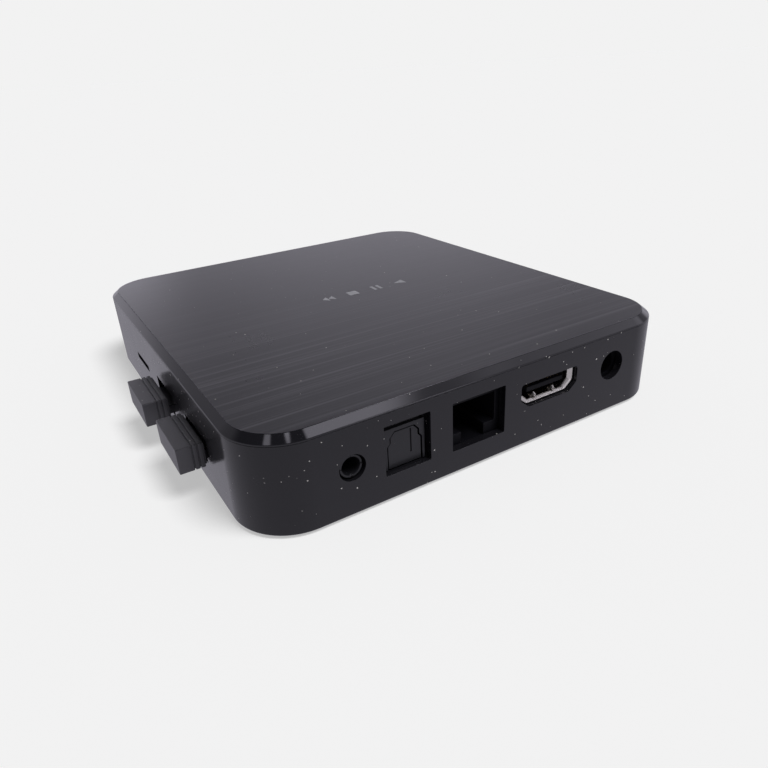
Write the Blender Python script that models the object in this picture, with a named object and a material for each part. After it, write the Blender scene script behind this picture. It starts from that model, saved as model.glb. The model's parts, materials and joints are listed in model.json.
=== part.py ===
"""Streaming media player: a flat box with rear and side sockets, as separate parts.

The player stands on the plane Z = 0. +Y is the rear wall with the sockets, -Y is
the front, and +X is the side with the two USB ports. Every length below is in
millimetres in the case's own frame, whose Z axis runs up the middle of the case.
A finished mesh is turned into metres, and one empty carries the whole case.
"""
import math

import bmesh
import bpy
from mathutils import Matrix, Vector

MM = 0.001
GAP = 0.3

# Case
CASE_WIDTH = 110.0
CASE_DEPTH = 120.0
CASE_HEIGHT = 21.3
FOOT_STAND = 0.6
CORNER_RADIUS = 12.5
WALL = 2.0
FLOOR = 2.0
BEVEL_RUN = 1.75
BEVEL_DROP = 1.4
COVER_LAND = 0.3
BASE_CHAMFER = 0.6
CORNER_STEPS = 10

HALF_X = CASE_WIDTH / 2
HALF_Y = CASE_DEPTH / 2
TOP_Z = FOOT_STAND + CASE_HEIGHT
FLOOR_TOP = FOOT_STAND + FLOOR
COVER_LOW = TOP_Z - BEVEL_DROP - COVER_LAND
WALL_TOP = COVER_LOW - GAP

# Cover
LIP_DEPTH = 1.8
LIP_THICKNESS = 1.2
BOSS_RADIUS = 3.2
BOSS_LOW = 8.9
PILOT_TOP = 17.5

# Case screws, their posts and the feet that hide them
SCREW_XY = [(x, y) for x in (-46.0, 46.0) for y in (-51.0, 51.0)]
POST_RADIUS = 3.4
POST_TOP = BOSS_LOW - GAP
HEAD_SEAT = 5.2
HEAD_BORE = 2.7
CLEAR_HOLE = 1.5
PILOT_HOLE = 1.3
SHANK_RADIUS = 1.0
HEAD_RADIUS = 2.4
HEAD_HEIGHT = 1.8
CASE_SHANK = 11.4
RECESS_SLOT = 0.55
RECESS_REACH = 1.4
RECESS_DEPTH = 0.9
FOOT_RADIUS = 4.9
FOOT_RECESS = 0.8

# Board
BOARD_TOP = 9.2
BOARD_THICKNESS = 1.6
BOARD_HALF_X = 51.5
BOARD_FRONT = -55.5
BOARD_REAR = 56.5
BOARD_NOTCH_X = 41.8
BOARD_NOTCH_Y = 46.8
BOARD_SCREW_XY = [(-46.0, 36.0), (46.0, -36.0), (-46.0, -38.0), (44.5, 15.75)]
BOARD_POST_RADIUS = 2.6
BOARD_HOLE = 1.4
BOARD_SHANK = 5.2
BOARD_HEAD_HEIGHT = 1.5
SEAT_Z = BOARD_TOP + GAP

# Socket centres: rear ones are (x, z), side ones are (y, z)
POWER_AT = (-35.1, 12.4)
POWER_HOLE = 3.6
HDMI_AT = (-15.3, 12.87)
LAN_AT = (4.5, 11.54)
LAN_CUTOUT = (13.8, 11.2)
OPTICAL_AT = (22.2, 11.85)
OPTICAL_CUTOUT = (10.7, 11.1)
AV_AT = (34.7, 11.25)
AV_HOLE = 2.85
USB_AT = [(27.9, 9.5), (3.6, 9.5)]
USB_CUTOUT = (13.6, 5.6)
CARD_AT = (-18.9, 10.4)
CARD_CUTOUT = (12.6, 1.6)
FACE = -(WALL + GAP)

# HDMI shell
HDMI_HALF = 7.25
HDMI_HALF_HEIGHT = 2.46
HDMI_FOOT_HALF = 5.2
HDMI_CHAMFER = 1.9
HDMI_SHEET = 0.4
HDMI_FLARE = [(5.9, -2.8), (8.05, -1.0), (8.05, 2.46)]
HDMI_FLARE_DEPTH = 1.35
HDMI_MOUTH = -0.55
HDMI_DEPTH = 12.0
HDMI_LEG_X = 6.9
HDMI_LEG_Y = (-5.0, -10.0)
HDMI_LEG = (0.6, 1.5)

# Optical socket and its shutter door
DOOR_OUTLINE = [(3.8, -5.15), (3.8, -0.2), (3.15, 0.55), (3.15, 1.65), (2.2, 2.75)]
DOOR_FRONT = -1.5
DOOR_THICKNESS = 0.8
DOOR_AXIS = (-4.55, 3.1)
KNUCKLE_RADIUS = 0.95
KNUCKLE_SPAN = (1.6, 3.4)
PIN_RADIUS = 0.4
PIN_HALF = 4.8
OPTICAL_HALF = 5.6
OPTICAL_Z = (-6.7, 6.1)
OPTICAL_BACK = -15.2
OPTICAL_NOSE_HALF = 4.7
OPTICAL_NOSE_Z = (-5.25, 3.9)
OPTICAL_NOSE_FRONT = -1.3
OPTICAL_CAVITY_Z = (-6.1, 4.6)
OPTICAL_LIGHT_Z = -2.2

# USB sockets and dust plugs
USB_HALF = (6.6, 2.9)
USB_SHEET = 0.4
USB_FRONT = FACE
USB_BACK = -16.0
USB_TONGUE_HALF = 5.55
USB_TONGUE_Z = (0.35, 2.15)
PLUG_HALF = (7.75, 2.9)
PLUG_LENGTH = 6.1
PLUG_INSERT_HALF = 5.85
PLUG_INSERT_Z = (-2.15, 0.0)
PLUG_INSERT_DEPTH = -12.8
PLUG_CORNER = 0.7
PLUG_PROUD = [0.0, 0.8]

# The case stands this far off the frame's axis, so the frame is centred on the whole
CASE_X = -(PLUG_LENGTH + max(PLUG_PROUD)) / 2

# Floor vents
VENT_LENGTH = 26.0
VENT_WIDTH = 2.0
VENT_PITCH = 5.0
VENT_COUNT = 9
VENT_ROWS = (-16.0, 16.0)

# Front window, infrared eye and lamp
WINDOW_HALF = (12.0, 4.0)
WINDOW_Z = 11.2
WINDOW_CORNER = 2.0
WINDOW_FLANGE = 1.0
EYE_X = 7.5
LAMP_X = -7.5


# --- Outlines and closed meshes -------------------------------------------------

def rectangle(half_u, half_v, radius=0.0, steps=CORNER_STEPS, centre=(0.0, 0.0)):
    """Points of a rectangle, with round corners where a radius is given."""
    corners = [(half_u, half_v, 0), (-half_u, half_v, 1), (-half_u, -half_v, 2), (half_u, -half_v, 3)]
    if radius <= 0:
        return [(centre[0] + u, centre[1] + v) for u, v, _ in corners]
    points = []
    for u, v, quarter in corners:
        middle_u = u - math.copysign(radius, u)
        middle_v = v - math.copysign(radius, v)
        for step in range(steps + 1):
            angle = (quarter + step / steps) * math.pi / 2
            points.append((centre[0] + middle_u + radius * math.cos(angle),
                           centre[1] + middle_v + radius * math.sin(angle)))
    return points


def circle(radius, steps=24, centre=(0.0, 0.0)):
    """Points of a circle."""
    angles = [2 * math.pi * step / steps for step in range(steps)]
    return [(centre[0] + radius * math.cos(a), centre[1] + radius * math.sin(a)) for a in angles]


def mirrored(half_outline):
    """Close a right-hand half outline with its mirror image."""
    return half_outline + [(-u, v) for u, v in reversed(half_outline)]


def grown(outline, distance):
    """Move every side of an anticlockwise outline outwards by a distance."""
    points = [Vector(point) for point in outline]
    result = []
    for index, point in enumerate(points):
        before = (point - points[index - 1]).normalized()
        after = (points[(index + 1) % len(points)] - point).normalized()
        normal_before = Vector((before.y, -before.x))
        normal_after = Vector((after.y, -after.x))
        mitre = (normal_before + normal_after).normalized()
        result.append(tuple(point + mitre * distance / mitre.dot(normal_after)))
    return result


def on_axis(point, axis, along):
    """Place an outline point in space, with the outline square to an axis."""
    u, v = point
    return {"X": (along, u, v), "Y": (u, along, v), "Z": (u, v, along)}[axis]


def loft(rings):
    """Skin rings of equal length into one closed mesh, with flat ends."""
    bm = bmesh.new()
    loops = [[bm.verts.new(point) for point in ring] for ring in rings]
    count = len(loops[0])
    for low, high in zip(loops, loops[1:]):
        for index in range(count):
            following = (index + 1) % count
            bm.faces.new((low[index], low[following], high[following], high[index]))
    bm.faces.new(list(reversed(loops[0])))
    bm.faces.new(loops[-1])
    bmesh.ops.recalc_face_normals(bm, faces=bm.faces)
    mesh = bpy.data.meshes.new("solid")
    bm.to_mesh(mesh)
    bm.free()
    return mesh


def along_y(outline, along):
    """Place an outline square to Y at a distance along it."""
    return [on_axis(point, "Y", along) for point in outline]


def prism(outline, axis, low, high):
    """Extrude an outline along an axis from low to high."""
    return loft([[on_axis(point, axis, along) for point in outline] for along in (low, high)])


def turned(profile, axis, centre=(0.0, 0.0), steps=24):
    """Round solid from (radius, distance along the axis) pairs, narrowing to flat ends."""
    rings = [[on_axis(point, axis, along) for point in circle(radius, steps, centre)]
             for radius, along in profile]
    return loft(rings)


def block(x, y, z):
    """Box from three (low, high) pairs."""
    outline = [(x[0], y[0]), (x[1], y[0]), (x[1], y[1]), (x[0], y[1])]
    return prism(outline, "Z", z[0], z[1])


def slot_box(axis, centre, size, low, high):
    """Box cutter through a wall, given its opening's centre and size."""
    return prism(rectangle(size[0] / 2, size[1] / 2, centre=centre), axis, low, high)


def shaped(base, joins=(), cuts=()):
    """Join solids to a base solid, then cut others out of it."""
    scene = bpy.context.scene.collection
    work = bpy.data.objects.new("work", base)
    scene.objects.link(work)
    helpers = []
    for operation, meshes in (("UNION", joins), ("DIFFERENCE", cuts)):
        for mesh in meshes:
            helper = bpy.data.objects.new("helper", mesh)
            scene.objects.link(helper)
            helpers.append(helper)
            modifier = work.modifiers.new(operation.lower(), "BOOLEAN")
            modifier.operation = operation
            modifier.object = helper
            modifier.solver = "EXACT"
    graph = bpy.context.evaluated_depsgraph_get()
    result = bpy.data.meshes.new_from_object(work.evaluated_get(graph))
    for item in helpers + [work]:
        mesh = item.data
        bpy.data.objects.remove(item)
        bpy.data.meshes.remove(mesh)
    return result


# --- Scene helpers --------------------------------------------------------------

def make_material(name, colour, roughness, metallic=0.0, alpha=1.0):
    """Principled material with one colour."""
    material = bpy.data.materials.new(name)
    material.use_nodes = True
    shader = material.node_tree.nodes["Principled BSDF"]
    shader.inputs["Base Color"].default_value = (*colour, 1.0)
    shader.inputs["Roughness"].default_value = roughness
    shader.inputs["Metallic"].default_value = metallic
    shader.inputs["Alpha"].default_value = alpha
    return material


def make_materials():
    """Every material of the player by name."""
    table = {
        "case_plastic": ((0.020, 0.020, 0.022), 0.32, 0.0),
        "cover_plastic": ((0.040, 0.039, 0.044), 0.34, 0.0),
        "rubber": ((0.020, 0.020, 0.020), 0.85, 0.0),
        "plug_rubber": ((0.018, 0.018, 0.020), 0.55, 0.0),
        "smoked_window": ((0.012, 0.006, 0.008), 0.08, 0.0),
        "socket_plastic": ((0.016, 0.016, 0.018), 0.40, 0.0),
        "steel": ((0.62, 0.61, 0.58), 0.28, 1.0),
        "zinc": ((0.50, 0.50, 0.48), 0.38, 1.0),
        "gold": ((0.83, 0.60, 0.26), 0.25, 1.0),
        "aluminium": ((0.70, 0.70, 0.72), 0.40, 1.0),
        "board_green": ((0.010, 0.085, 0.035), 0.40, 0.0),
        "chip_black": ((0.022, 0.022, 0.023), 0.55, 0.0),
        "thermal_grey": ((0.42, 0.45, 0.50), 0.80, 0.0),
        "ferrite": ((0.070, 0.070, 0.075), 0.60, 0.0),
        "antenna_yellow": ((0.45, 0.30, 0.06), 0.45, 0.0),
        "cable_grey": ((0.08, 0.08, 0.08), 0.50, 0.0),
        "lamp_epoxy": ((0.55, 0.60, 0.75), 0.12, 0.0),
    }
    return {name: make_material(name, *values) for name, values in table.items()}


def empty(name, location, parent=None):
    """Empty that carries other objects, at a place in millimetres."""
    holder = bpy.data.objects.new(name, None)
    holder.empty_display_size = 0.01
    holder.location = Vector(location) * MM
    holder.parent = parent
    bpy.context.scene.collection.objects.link(holder)
    return holder


def finish(mesh):
    """Turn a mesh from millimetres into metres and shade its round faces smooth."""
    mesh.transform(Matrix.Scale(MM, 4))
    mesh.shade_smooth()
    mesh.set_sharp_from_angle(angle=math.radians(35))
    return mesh


def place(name, mesh, material, location, parent):
    """Put a finished mesh in the scene as a named part."""
    part = bpy.data.objects.new(name, mesh)
    part.data.name = name
    if not mesh.materials:
        mesh.materials.append(material)
    part.location = Vector(location) * MM
    part.parent = parent
    bpy.context.scene.collection.objects.link(part)
    return part


# --- Case -----------------------------------------------------------------------

def case_outline(inset):
    """Case outline, moved inwards by a distance."""
    return rectangle(HALF_X - inset, HALF_Y - inset, CORNER_RADIUS - inset)


def floor_vents():
    """Cutters for the rows of long slots in the floor."""
    first = -(VENT_COUNT - 1) / 2 * VENT_PITCH
    return [prism(rectangle(VENT_WIDTH / 2, VENT_LENGTH / 2, VENT_WIDTH / 2 - 0.01, 1,
                            (first + index * VENT_PITCH, row)), "Z", 0.0, FLOOR_TOP + 1)
            for row in VENT_ROWS for index in range(VENT_COUNT)]


def wall_cutters():
    """Cutters for every socket opening, the card slot and the front window."""
    rear = (HALF_Y - WALL - 1, HALF_Y + 1)
    side = (HALF_X - WALL - 1, HALF_X + 1)
    cutters = [
        prism(circle(POWER_HOLE, 24, POWER_AT), "Y", *rear),
        prism([(HDMI_AT[0] + u, HDMI_AT[1] + v) for u, v in grown(mirrored(HDMI_FLARE), GAP)], "Y", *rear),
        slot_box("Y", LAN_AT, LAN_CUTOUT, *rear),
        slot_box("Y", OPTICAL_AT, OPTICAL_CUTOUT, *rear),
        prism(circle(AV_HOLE, 24, AV_AT), "Y", *rear),
        slot_box("X", CARD_AT, CARD_CUTOUT, *side),
    ]
    cutters += [slot_box("X", centre, USB_CUTOUT, *side) for centre in USB_AT]
    window = rectangle(WINDOW_HALF[0] + GAP, WINDOW_HALF[1] + GAP, WINDOW_CORNER + GAP, 5, (0, WINDOW_Z))
    cutters.append(prism(window, "Y", -HALF_Y - 1, -HALF_Y + WALL + 1))
    return cutters


def base_housing():
    """Tub with floor, walls, posts and every opening."""
    shell = loft([
        [(u, v, FOOT_STAND) for u, v in case_outline(BASE_CHAMFER)],
        [(u, v, FOOT_STAND + BASE_CHAMFER) for u, v in case_outline(0)],
        [(u, v, WALL_TOP) for u, v in case_outline(0)],
    ])
    cavity = prism(case_outline(WALL), "Z", FLOOR_TOP, WALL_TOP + 1)
    tub = shaped(shell, cuts=[cavity] + wall_cutters() + floor_vents())
    sunk = FLOOR_TOP - 0.5
    posts = [prism(circle(POST_RADIUS, 20, at), "Z", sunk, POST_TOP) for at in SCREW_XY]
    posts += [prism(circle(BOARD_POST_RADIUS, 16, at), "Z", sunk, BOARD_TOP - BOARD_THICKNESS - GAP)
              for at in BOARD_SCREW_XY]
    holes = [prism(circle(CLEAR_HOLE, 16, at), "Z", HEAD_SEAT - 0.5, POST_TOP + 1) for at in SCREW_XY]
    holes += [prism(circle(HEAD_BORE, 20, at), "Z", FOOT_STAND, HEAD_SEAT) for at in SCREW_XY]
    holes += [prism(circle(FOOT_RADIUS + GAP, 24, at), "Z", 0.0, FOOT_STAND + FOOT_RECESS)
              for at in SCREW_XY]
    holes += [prism(circle(PILOT_HOLE, 12, at), "Z", FLOOR_TOP, BOARD_TOP) for at in BOARD_SCREW_XY]
    return shaped(tub, joins=posts, cuts=holes)


def top_cover():
    """Lid with a bevelled edge, a locating lip inside the walls and four screw bosses."""
    plate = loft([
        [(u, v, COVER_LOW) for u, v in case_outline(0)],
        [(u, v, COVER_LOW + COVER_LAND) for u, v in case_outline(0)],
        [(u, v, TOP_Z) for u, v in case_outline(BEVEL_RUN)],
    ])
    lip_low = COVER_LOW - LIP_DEPTH
    lip = shaped(prism(case_outline(WALL + GAP), "Z", lip_low, COVER_LOW + 0.5),
                 cuts=[prism(case_outline(WALL + GAP + LIP_THICKNESS), "Z", lip_low - 1, COVER_LOW + 1)])
    bosses = [prism(circle(BOSS_RADIUS, 20, at), "Z", BOSS_LOW, COVER_LOW + 0.5) for at in SCREW_XY]
    pilots = [prism(circle(PILOT_HOLE, 12, at), "Z", BOSS_LOW - 1, PILOT_TOP) for at in SCREW_XY]
    return shaped(plate, joins=[lip] + bosses, cuts=pilots)


def screw(head_height, shank):
    """Pan-head screw, head down, with the head's upper face at the origin and the shank along +Z."""
    profile = [(HEAD_RADIUS - 0.5, -head_height), (HEAD_RADIUS, -head_height + 0.6), (HEAD_RADIUS, 0.0),
               (SHANK_RADIUS, 0.0), (SHANK_RADIUS, shank - 0.8), (0.3, shank)]
    recess_z = (-head_height - 1, -head_height + RECESS_DEPTH)
    arms = [block((-RECESS_REACH, RECESS_REACH), (-RECESS_SLOT / 2, RECESS_SLOT / 2), recess_z),
            block((-RECESS_SLOT / 2, RECESS_SLOT / 2), (-RECESS_REACH, RECESS_REACH), recess_z)]
    return shaped(turned(profile, "Z", steps=16), cuts=arms)


def rubber_foot():
    """Round stick-on foot, standing on the table."""
    top = FOOT_STAND + FOOT_RECESS - GAP
    return turned([(FOOT_RADIUS - 0.4, 0.0), (FOOT_RADIUS, 0.35), (FOOT_RADIUS, top)], "Z", steps=24)


def front_window():
    """Smoked window with an inner flange, around the wall's outer face at local Y = 0."""
    pane = prism(rectangle(*WINDOW_HALF, WINDOW_CORNER, 5), "Y", 0.0, WALL + GAP + 0.2)
    flange = prism(rectangle(WINDOW_HALF[0] + WINDOW_FLANGE, WINDOW_HALF[1] + WINDOW_FLANGE,
                             WINDOW_CORNER, 5), "Y", WALL + GAP, WALL + GAP + 0.8)
    return shaped(flange, joins=[pane])


# --- Board and what stands on it -------------------------------------------------

def main_board():
    """Circuit board, cut away for the bosses and for the sockets that hang through it."""
    low, high = BOARD_TOP - BOARD_THICKNESS, BOARD_TOP
    z = (low - 1, high + 1)
    plate = block((-BOARD_HALF_X, BOARD_HALF_X), (BOARD_FRONT, BOARD_REAR), (low, high))
    cuts = [block(sorted((sx * BOARD_NOTCH_X, sx * (BOARD_HALF_X + 1))),
                  sorted((sy * BOARD_NOTCH_Y, sy * (HALF_Y + 1))), z) for sx in (-1, 1) for sy in (-1, 1)]
    rear_notches = [(POWER_AT[0], 4.8, 45.2), (LAN_AT[0], 8.2, 41.4), (OPTICAL_AT[0], 5.9, 41.7),
                    (AV_AT[0], 3.6, 44.7)]
    cuts += [block((x - half, x + half), (start, HALF_Y), z) for x, half, start in rear_notches]
    cuts += [block((HALF_X + USB_BACK - GAP, HALF_X), (y - USB_HALF[0] - GAP, y + USB_HALF[0] + GAP), z)
             for y, _ in USB_AT]
    cuts += [prism(circle(BOARD_HOLE, 12, at), "Z", *z) for at in BOARD_SCREW_XY]
    for side in (-1, 1):
        for leg_y in HDMI_LEG_Y:
            x, y = HDMI_AT[0] + side * HDMI_LEG_X, HALF_Y + leg_y
            cuts.append(block((x - HDMI_LEG[0] / 2 - GAP, x + HDMI_LEG[0] / 2 + GAP),
                              (y - HDMI_LEG[1] / 2 - GAP, y + HDMI_LEG[1] / 2 + GAP), z))
    return shaped(plate, cuts=cuts)


def chip(half_x, half_y, height):
    """Moulded chip package with a small chamfer round its top, standing at Z = 0."""
    chamfer = 0.25
    rings = [[(u, v, 0.0) for u, v in rectangle(half_x, half_y)],
             [(u, v, height - chamfer) for u, v in rectangle(half_x, half_y)],
             [(u, v, height) for u, v in rectangle(half_x - chamfer, half_y - chamfer)]]
    return loft(rings)


def heatsink():
    """Extruded heatsink: a base plate with a row of straight fins."""
    half, base, fin_top, fins, thickness = 18.0, 2.0, 6.4, 9, 1.2
    pitch = (2 * half - thickness) / (fins - 1)
    plate = block((-half, half), (-half, half), (0.0, base))
    rows = [-half + thickness / 2 + index * pitch for index in range(fins)]
    blades = [block((x - thickness / 2, x + thickness / 2), (-half, half), (base - 0.5, fin_top))
              for x in rows]
    return shaped(plate, joins=blades)


def capacitor():
    """Electrolytic can with its crimp groove, on a square base."""
    can = turned([(3.0, 0.6), (3.0, 1.6), (2.7, 1.9), (3.0, 2.2), (3.0, 5.4), (2.7, 5.8)], "Z", steps=24)
    return shaped(block((-3.2, 3.2), (-3.2, 3.2), (0.0, 0.9)), joins=[can])


def inductor():
    """Square power inductor with a round well in its top."""
    body = prism(rectangle(3.6, 3.6, 1.0, 4), "Z", 0.0, 3.2)
    return shaped(body, cuts=[prism(circle(2.0, 20), "Z", 2.7, 4.0)])


def crystal():
    """Oblong crystal can on a flange."""
    can = prism(rectangle(5.0, 1.9, 1.85, 6), "Z", 0.3, 3.4)
    return shaped(prism(rectangle(5.6, 2.4, 2.35, 6), "Z", 0.0, 0.6), joins=[can])


def wifi_module():
    """Radio module: a small board with a pressed shield can and a coax socket."""
    can = prism(rectangle(5.2, 5.2, 0.6, 3, (0.6, -0.6)), "Z", 0.5, 2.4)
    socket = turned([(1.1, 0.5), (1.1, 1.6), (0.8, 1.8)], "Z", (-5.6, 5.6), 14)
    return shaped(block((-7.0, 7.0), (-7.0, 7.0), (0.0, 0.8)), joins=[can, socket])


def wifi_antenna():
    """Flexible aerial stuck on the inside of the wall, with its meander cut in."""
    strip = block((0.0, 0.5), (-16.0, 16.0), (-3.2, 3.2))
    slots = [block((-1, 1), (y, y + 1.2), (low, low + 4.4)) for y, low in
             zip((-12.0, -7.0, -2.0, 3.0, 8.0), (-4.0, -0.4, -4.0, -0.4, -4.0))]
    return shaped(strip, cuts=slots)


def eye():
    """Infrared receiver: a block with a domed lens towards the front."""
    body = block((-2.7, 2.7), (-1.2, 2.0), (0.0, 6.6))
    dome = turned([(2.1, 0.0), (2.1, -1.4), (1.8, -2.2), (1.1, -2.9), (0.3, -3.1)], "Y", (0.0, 3.7), 20)
    return shaped(body, joins=[dome])


def lamp():
    """Round indicator lamp lying on its side, towards the front."""
    body = block((-1.6, 1.6), (0.0, 2.4), (0.0, 3.6))
    lens = turned([(1.5, 1.0), (1.5, -1.6), (1.2, -2.4), (0.3, -2.8)], "Y", (0.0, 1.7), 16)
    return shaped(body, joins=[lens])


# --- Rear sockets: the origin is the opening's centre on the wall's outer face ----

def power_socket():
    """Barrel power socket with a round bore."""
    body = block((-4.5, 4.5), (-14.5, FACE), (-4.0, 4.0))
    bores = [prism(circle(2.9, 28), "Y", -12.5, 0.0), prism(circle(1.3, 14), "Y", -16.0, -12.0)]
    return shaped(body, cuts=bores)


def power_pin():
    """Centre pin of the power socket."""
    return turned([(1.0, -15.6), (1.0, -4.4), (0.75, -3.9), (0.3, -3.7)], "Y", steps=16)


def hdmi_outline():
    """Outer outline of the shell: wide at the top, drawn in at the bottom corners."""
    return mirrored([(HDMI_FOOT_HALF, -HDMI_HALF_HEIGHT), (HDMI_HALF, -HDMI_HALF_HEIGHT + HDMI_CHAMFER),
                     (HDMI_HALF, HDMI_HALF_HEIGHT)])


def hdmi_shell():
    """Folded steel shell on four legs, with a mouth that flares at the sides and the bottom."""
    inner, flared = grown(hdmi_outline(), -HDMI_SHEET), mirrored(HDMI_FLARE)
    outer = loft([along_y(hdmi_outline(), -HDMI_DEPTH), along_y(hdmi_outline(), -HDMI_FLARE_DEPTH - 0.3),
                  along_y(flared, HDMI_MOUTH)])
    bore = loft([along_y(inner, -HDMI_DEPTH - 1), along_y(inner, -HDMI_FLARE_DEPTH),
                 along_y(grown(flared, -0.15), HDMI_MOUTH + 0.1)])
    tube = shaped(outer, cuts=[bore])
    leg_low = BOARD_TOP - BOARD_THICKNESS - 0.4 - HDMI_AT[1]
    legs = []
    for side in (-1, 1):
        for leg_y in HDMI_LEG_Y:
            x = side * HDMI_LEG_X
            legs.append(block((x - HDMI_LEG[0] / 2, x + HDMI_LEG[0] / 2),
                              (leg_y - HDMI_LEG[1] / 2, leg_y + HDMI_LEG[1] / 2), (leg_low, -0.6)))
    return shaped(tube, joins=legs)


def hdmi_insulator():
    """Plastic block behind the shell's mouth, with the contact tongue."""
    inner = grown(hdmi_outline(), -HDMI_SHEET - GAP)
    back = prism(inner, "Y", -HDMI_DEPTH - 0.2, -HDMI_DEPTH + 3.5)
    tongue = block((-5.4, 5.4), (-HDMI_DEPTH + 3.0, -1.6), (-0.35, 0.75))
    return shaped(back, joins=[tongue])


def lan_housing():
    """Network socket body: a wide cavity with the latch notch below it."""
    body = block((-7.9, 7.9), (-18.3, FACE), (-7.2, 5.4))
    mouth = mirrored([(3.0, -6.0), (3.0, -3.2), (5.95, -3.2), (5.95, 3.6)])
    return shaped(body, cuts=[prism(mouth, "Y", -16.0, 0.0)])


def lan_contacts():
    """Eight spring wires rising forwards from one carrier bar."""
    bar = block((-4.7, 4.7), (-15.7, -13.6), (-0.8, 3.3))
    pitch, half = 1.02, 0.2
    wire = [(-13.9, 1.5), (-6.6, 2.85), (-6.6, 3.2), (-13.9, 1.9)]
    centres = [(index - 3.5) * pitch for index in range(8)]
    return shaped(bar, joins=[prism(wire, "X", x - half, x + half) for x in centres])


def door_outline():
    """Keyed outline of the optical socket's door."""
    return mirrored(DOOR_OUTLINE)


def optical_housing():
    """Optical socket body: nose with a keyed mouth, a cavity for the door and holes for its pin.

    The door's lower edge dips as it swings, so the mouth reaches down to the cavity's floor.
    """
    body = block((-OPTICAL_HALF, OPTICAL_HALF), (OPTICAL_BACK, FACE), OPTICAL_Z)
    nose = block((-OPTICAL_NOSE_HALF, OPTICAL_NOSE_HALF), (FACE - 0.5, OPTICAL_NOSE_FRONT), OPTICAL_NOSE_Z)
    mouth = prism(grown(door_outline(), GAP), "Y", FACE - 2, 0.0)
    dip = block((-DOOR_OUTLINE[0][0] - GAP, DOOR_OUTLINE[0][0] + GAP), (FACE - 2, 0.0),
                (OPTICAL_CAVITY_Z[0], DOOR_OUTLINE[0][1] + 0.5))
    cavity = block((-4.1, 4.1), (-13.2, FACE - 1.0), OPTICAL_CAVITY_Z)
    pin_hole = prism(circle(PIN_RADIUS + GAP, 14, DOOR_AXIS), "X", -PIN_HALF - GAP, PIN_HALF + GAP)
    light_hole = prism(circle(1.6, 18, (0.0, OPTICAL_LIGHT_Z)), "Y", OPTICAL_BACK - 1, -12.0)
    return shaped(body, joins=[nose], cuts=[mouth, dip, cavity, pin_hole, light_hole])


def optical_door():
    """Door around its hinge axis: keyed plate, groove, two webs and two bored knuckles."""
    axis_y, axis_z = DOOR_AXIS
    front, back = DOOR_FRONT - axis_y, DOOR_FRONT - DOOR_THICKNESS - axis_y
    plate = prism([(u, v - axis_z) for u, v in door_outline()], "Y", back, front)
    joins, bores = [], []
    for side in (-1, 1):
        span = sorted(side * end for end in KNUCKLE_SPAN)
        web_span = sorted(side * end for end in (1.6, 2.6))
        joins.append(prism(circle(KNUCKLE_RADIUS, 18), "X", *span))
        joins.append(block(web_span, (-0.3, back + 0.3), (-1.7, -0.9)))
        bores.append(prism(circle(PIN_RADIUS + GAP, 14), "X", span[0] - 0.5, span[1] + 0.5))
    groove = block((-1.65, -1.3), (front - 0.25, front + 1), (-6.05, -0.65))
    return shaped(plate, joins=joins, cuts=bores + [groove])


def door_spring():
    """Torsion spring round the pin: a helix of wire with two short legs."""
    wire, mean, turns, steps = 0.13, 0.74, 3, 12
    pitch = 0.62
    points = [Vector((-turns * pitch / 2, -1.1, -mean))]
    for index in range(turns * steps + 1):
        angle = 2 * math.pi * index / steps - math.pi / 2
        points.append(Vector((pitch * (index / steps - turns / 2), mean * math.cos(angle),
                              mean * math.sin(angle))))
    points.append(Vector((turns * pitch / 2, 1.7, -mean)))
    rings = []
    for index, point in enumerate(points):
        ahead = points[min(index + 1, len(points) - 1)] - points[max(index - 1, 0)]
        across = ahead.normalized().cross(Vector((1, 0, 0))).normalized()
        other = ahead.normalized().cross(across)
        rings.append([point + wire * (across * math.cos(a) + other * math.sin(a))
                      for a in (2 * math.pi * step / 6 for step in range(6))])
    return loft(rings)


def optical_emitter():
    """Light source behind the optical socket, with its nose in the rear hole."""
    nose = turned([(1.3, OPTICAL_BACK - 0.8), (1.3, -13.6), (0.9, -13.3)], "Y",
                  (0.0, OPTICAL_LIGHT_Z), 16)
    return shaped(block((-4.2, 4.2), (OPTICAL_BACK - 2.6, OPTICAL_BACK - GAP), (-6.0, 3.2)), joins=[nose])


def av_socket():
    """Round audio and video socket: a block with a sleeve that fills the wall's hole."""
    sleeve = prism(circle(AV_HOLE - GAP, 24), "Y", FACE - 0.5, -0.7)
    bores = [prism(circle(1.8, 24), "Y", -12.0, 1.0), prism(circle(1.2, 16), "Y", -16.0, -11.0)]
    return shaped(block((-3.3, 3.3), (-15.0, FACE), (-2.9, 3.0)), joins=[sleeve], cuts=bores)


def reset_switch():
    """Push switch behind the audio socket, open towards the button."""
    return shaped(block((-2.2, 2.2), (-20.6, -17.0), (-1.75, 1.75)),
                  cuts=[block((-1.1, 1.1), (-19.8, -16.0), (-1.1, 1.1))])


def reset_button():
    """Button that a pin presses through the audio socket, around its own front face."""
    return prism(rectangle(0.8, 0.8, 0.25, 3), "Y", -3.6, 0.0)


# --- Side sockets: the origin is the opening's centre on the wall's outer face ----

def usb_shell():
    """Steel shell of one USB port."""
    outer = prism(rectangle(USB_HALF[0], USB_HALF[1], 0.5, 2), "X", USB_BACK, USB_FRONT)
    bore = prism(rectangle(USB_HALF[0] - USB_SHEET, USB_HALF[1] - USB_SHEET), "X", USB_BACK - 1, 0.0)
    return shaped(outer, cuts=[bore])


def usb_tongue():
    """Plastic contact tongue of one USB port, with the block that closes the shell."""
    back = block((USB_BACK + 0.3, USB_BACK + 2.7), (-5.9, 5.9), (-2.2, 2.2))
    tongue = block((USB_BACK + 2.2, -4.0), (-USB_TONGUE_HALF, USB_TONGUE_HALF), USB_TONGUE_Z)
    return shaped(back, joins=[tongue])


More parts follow.
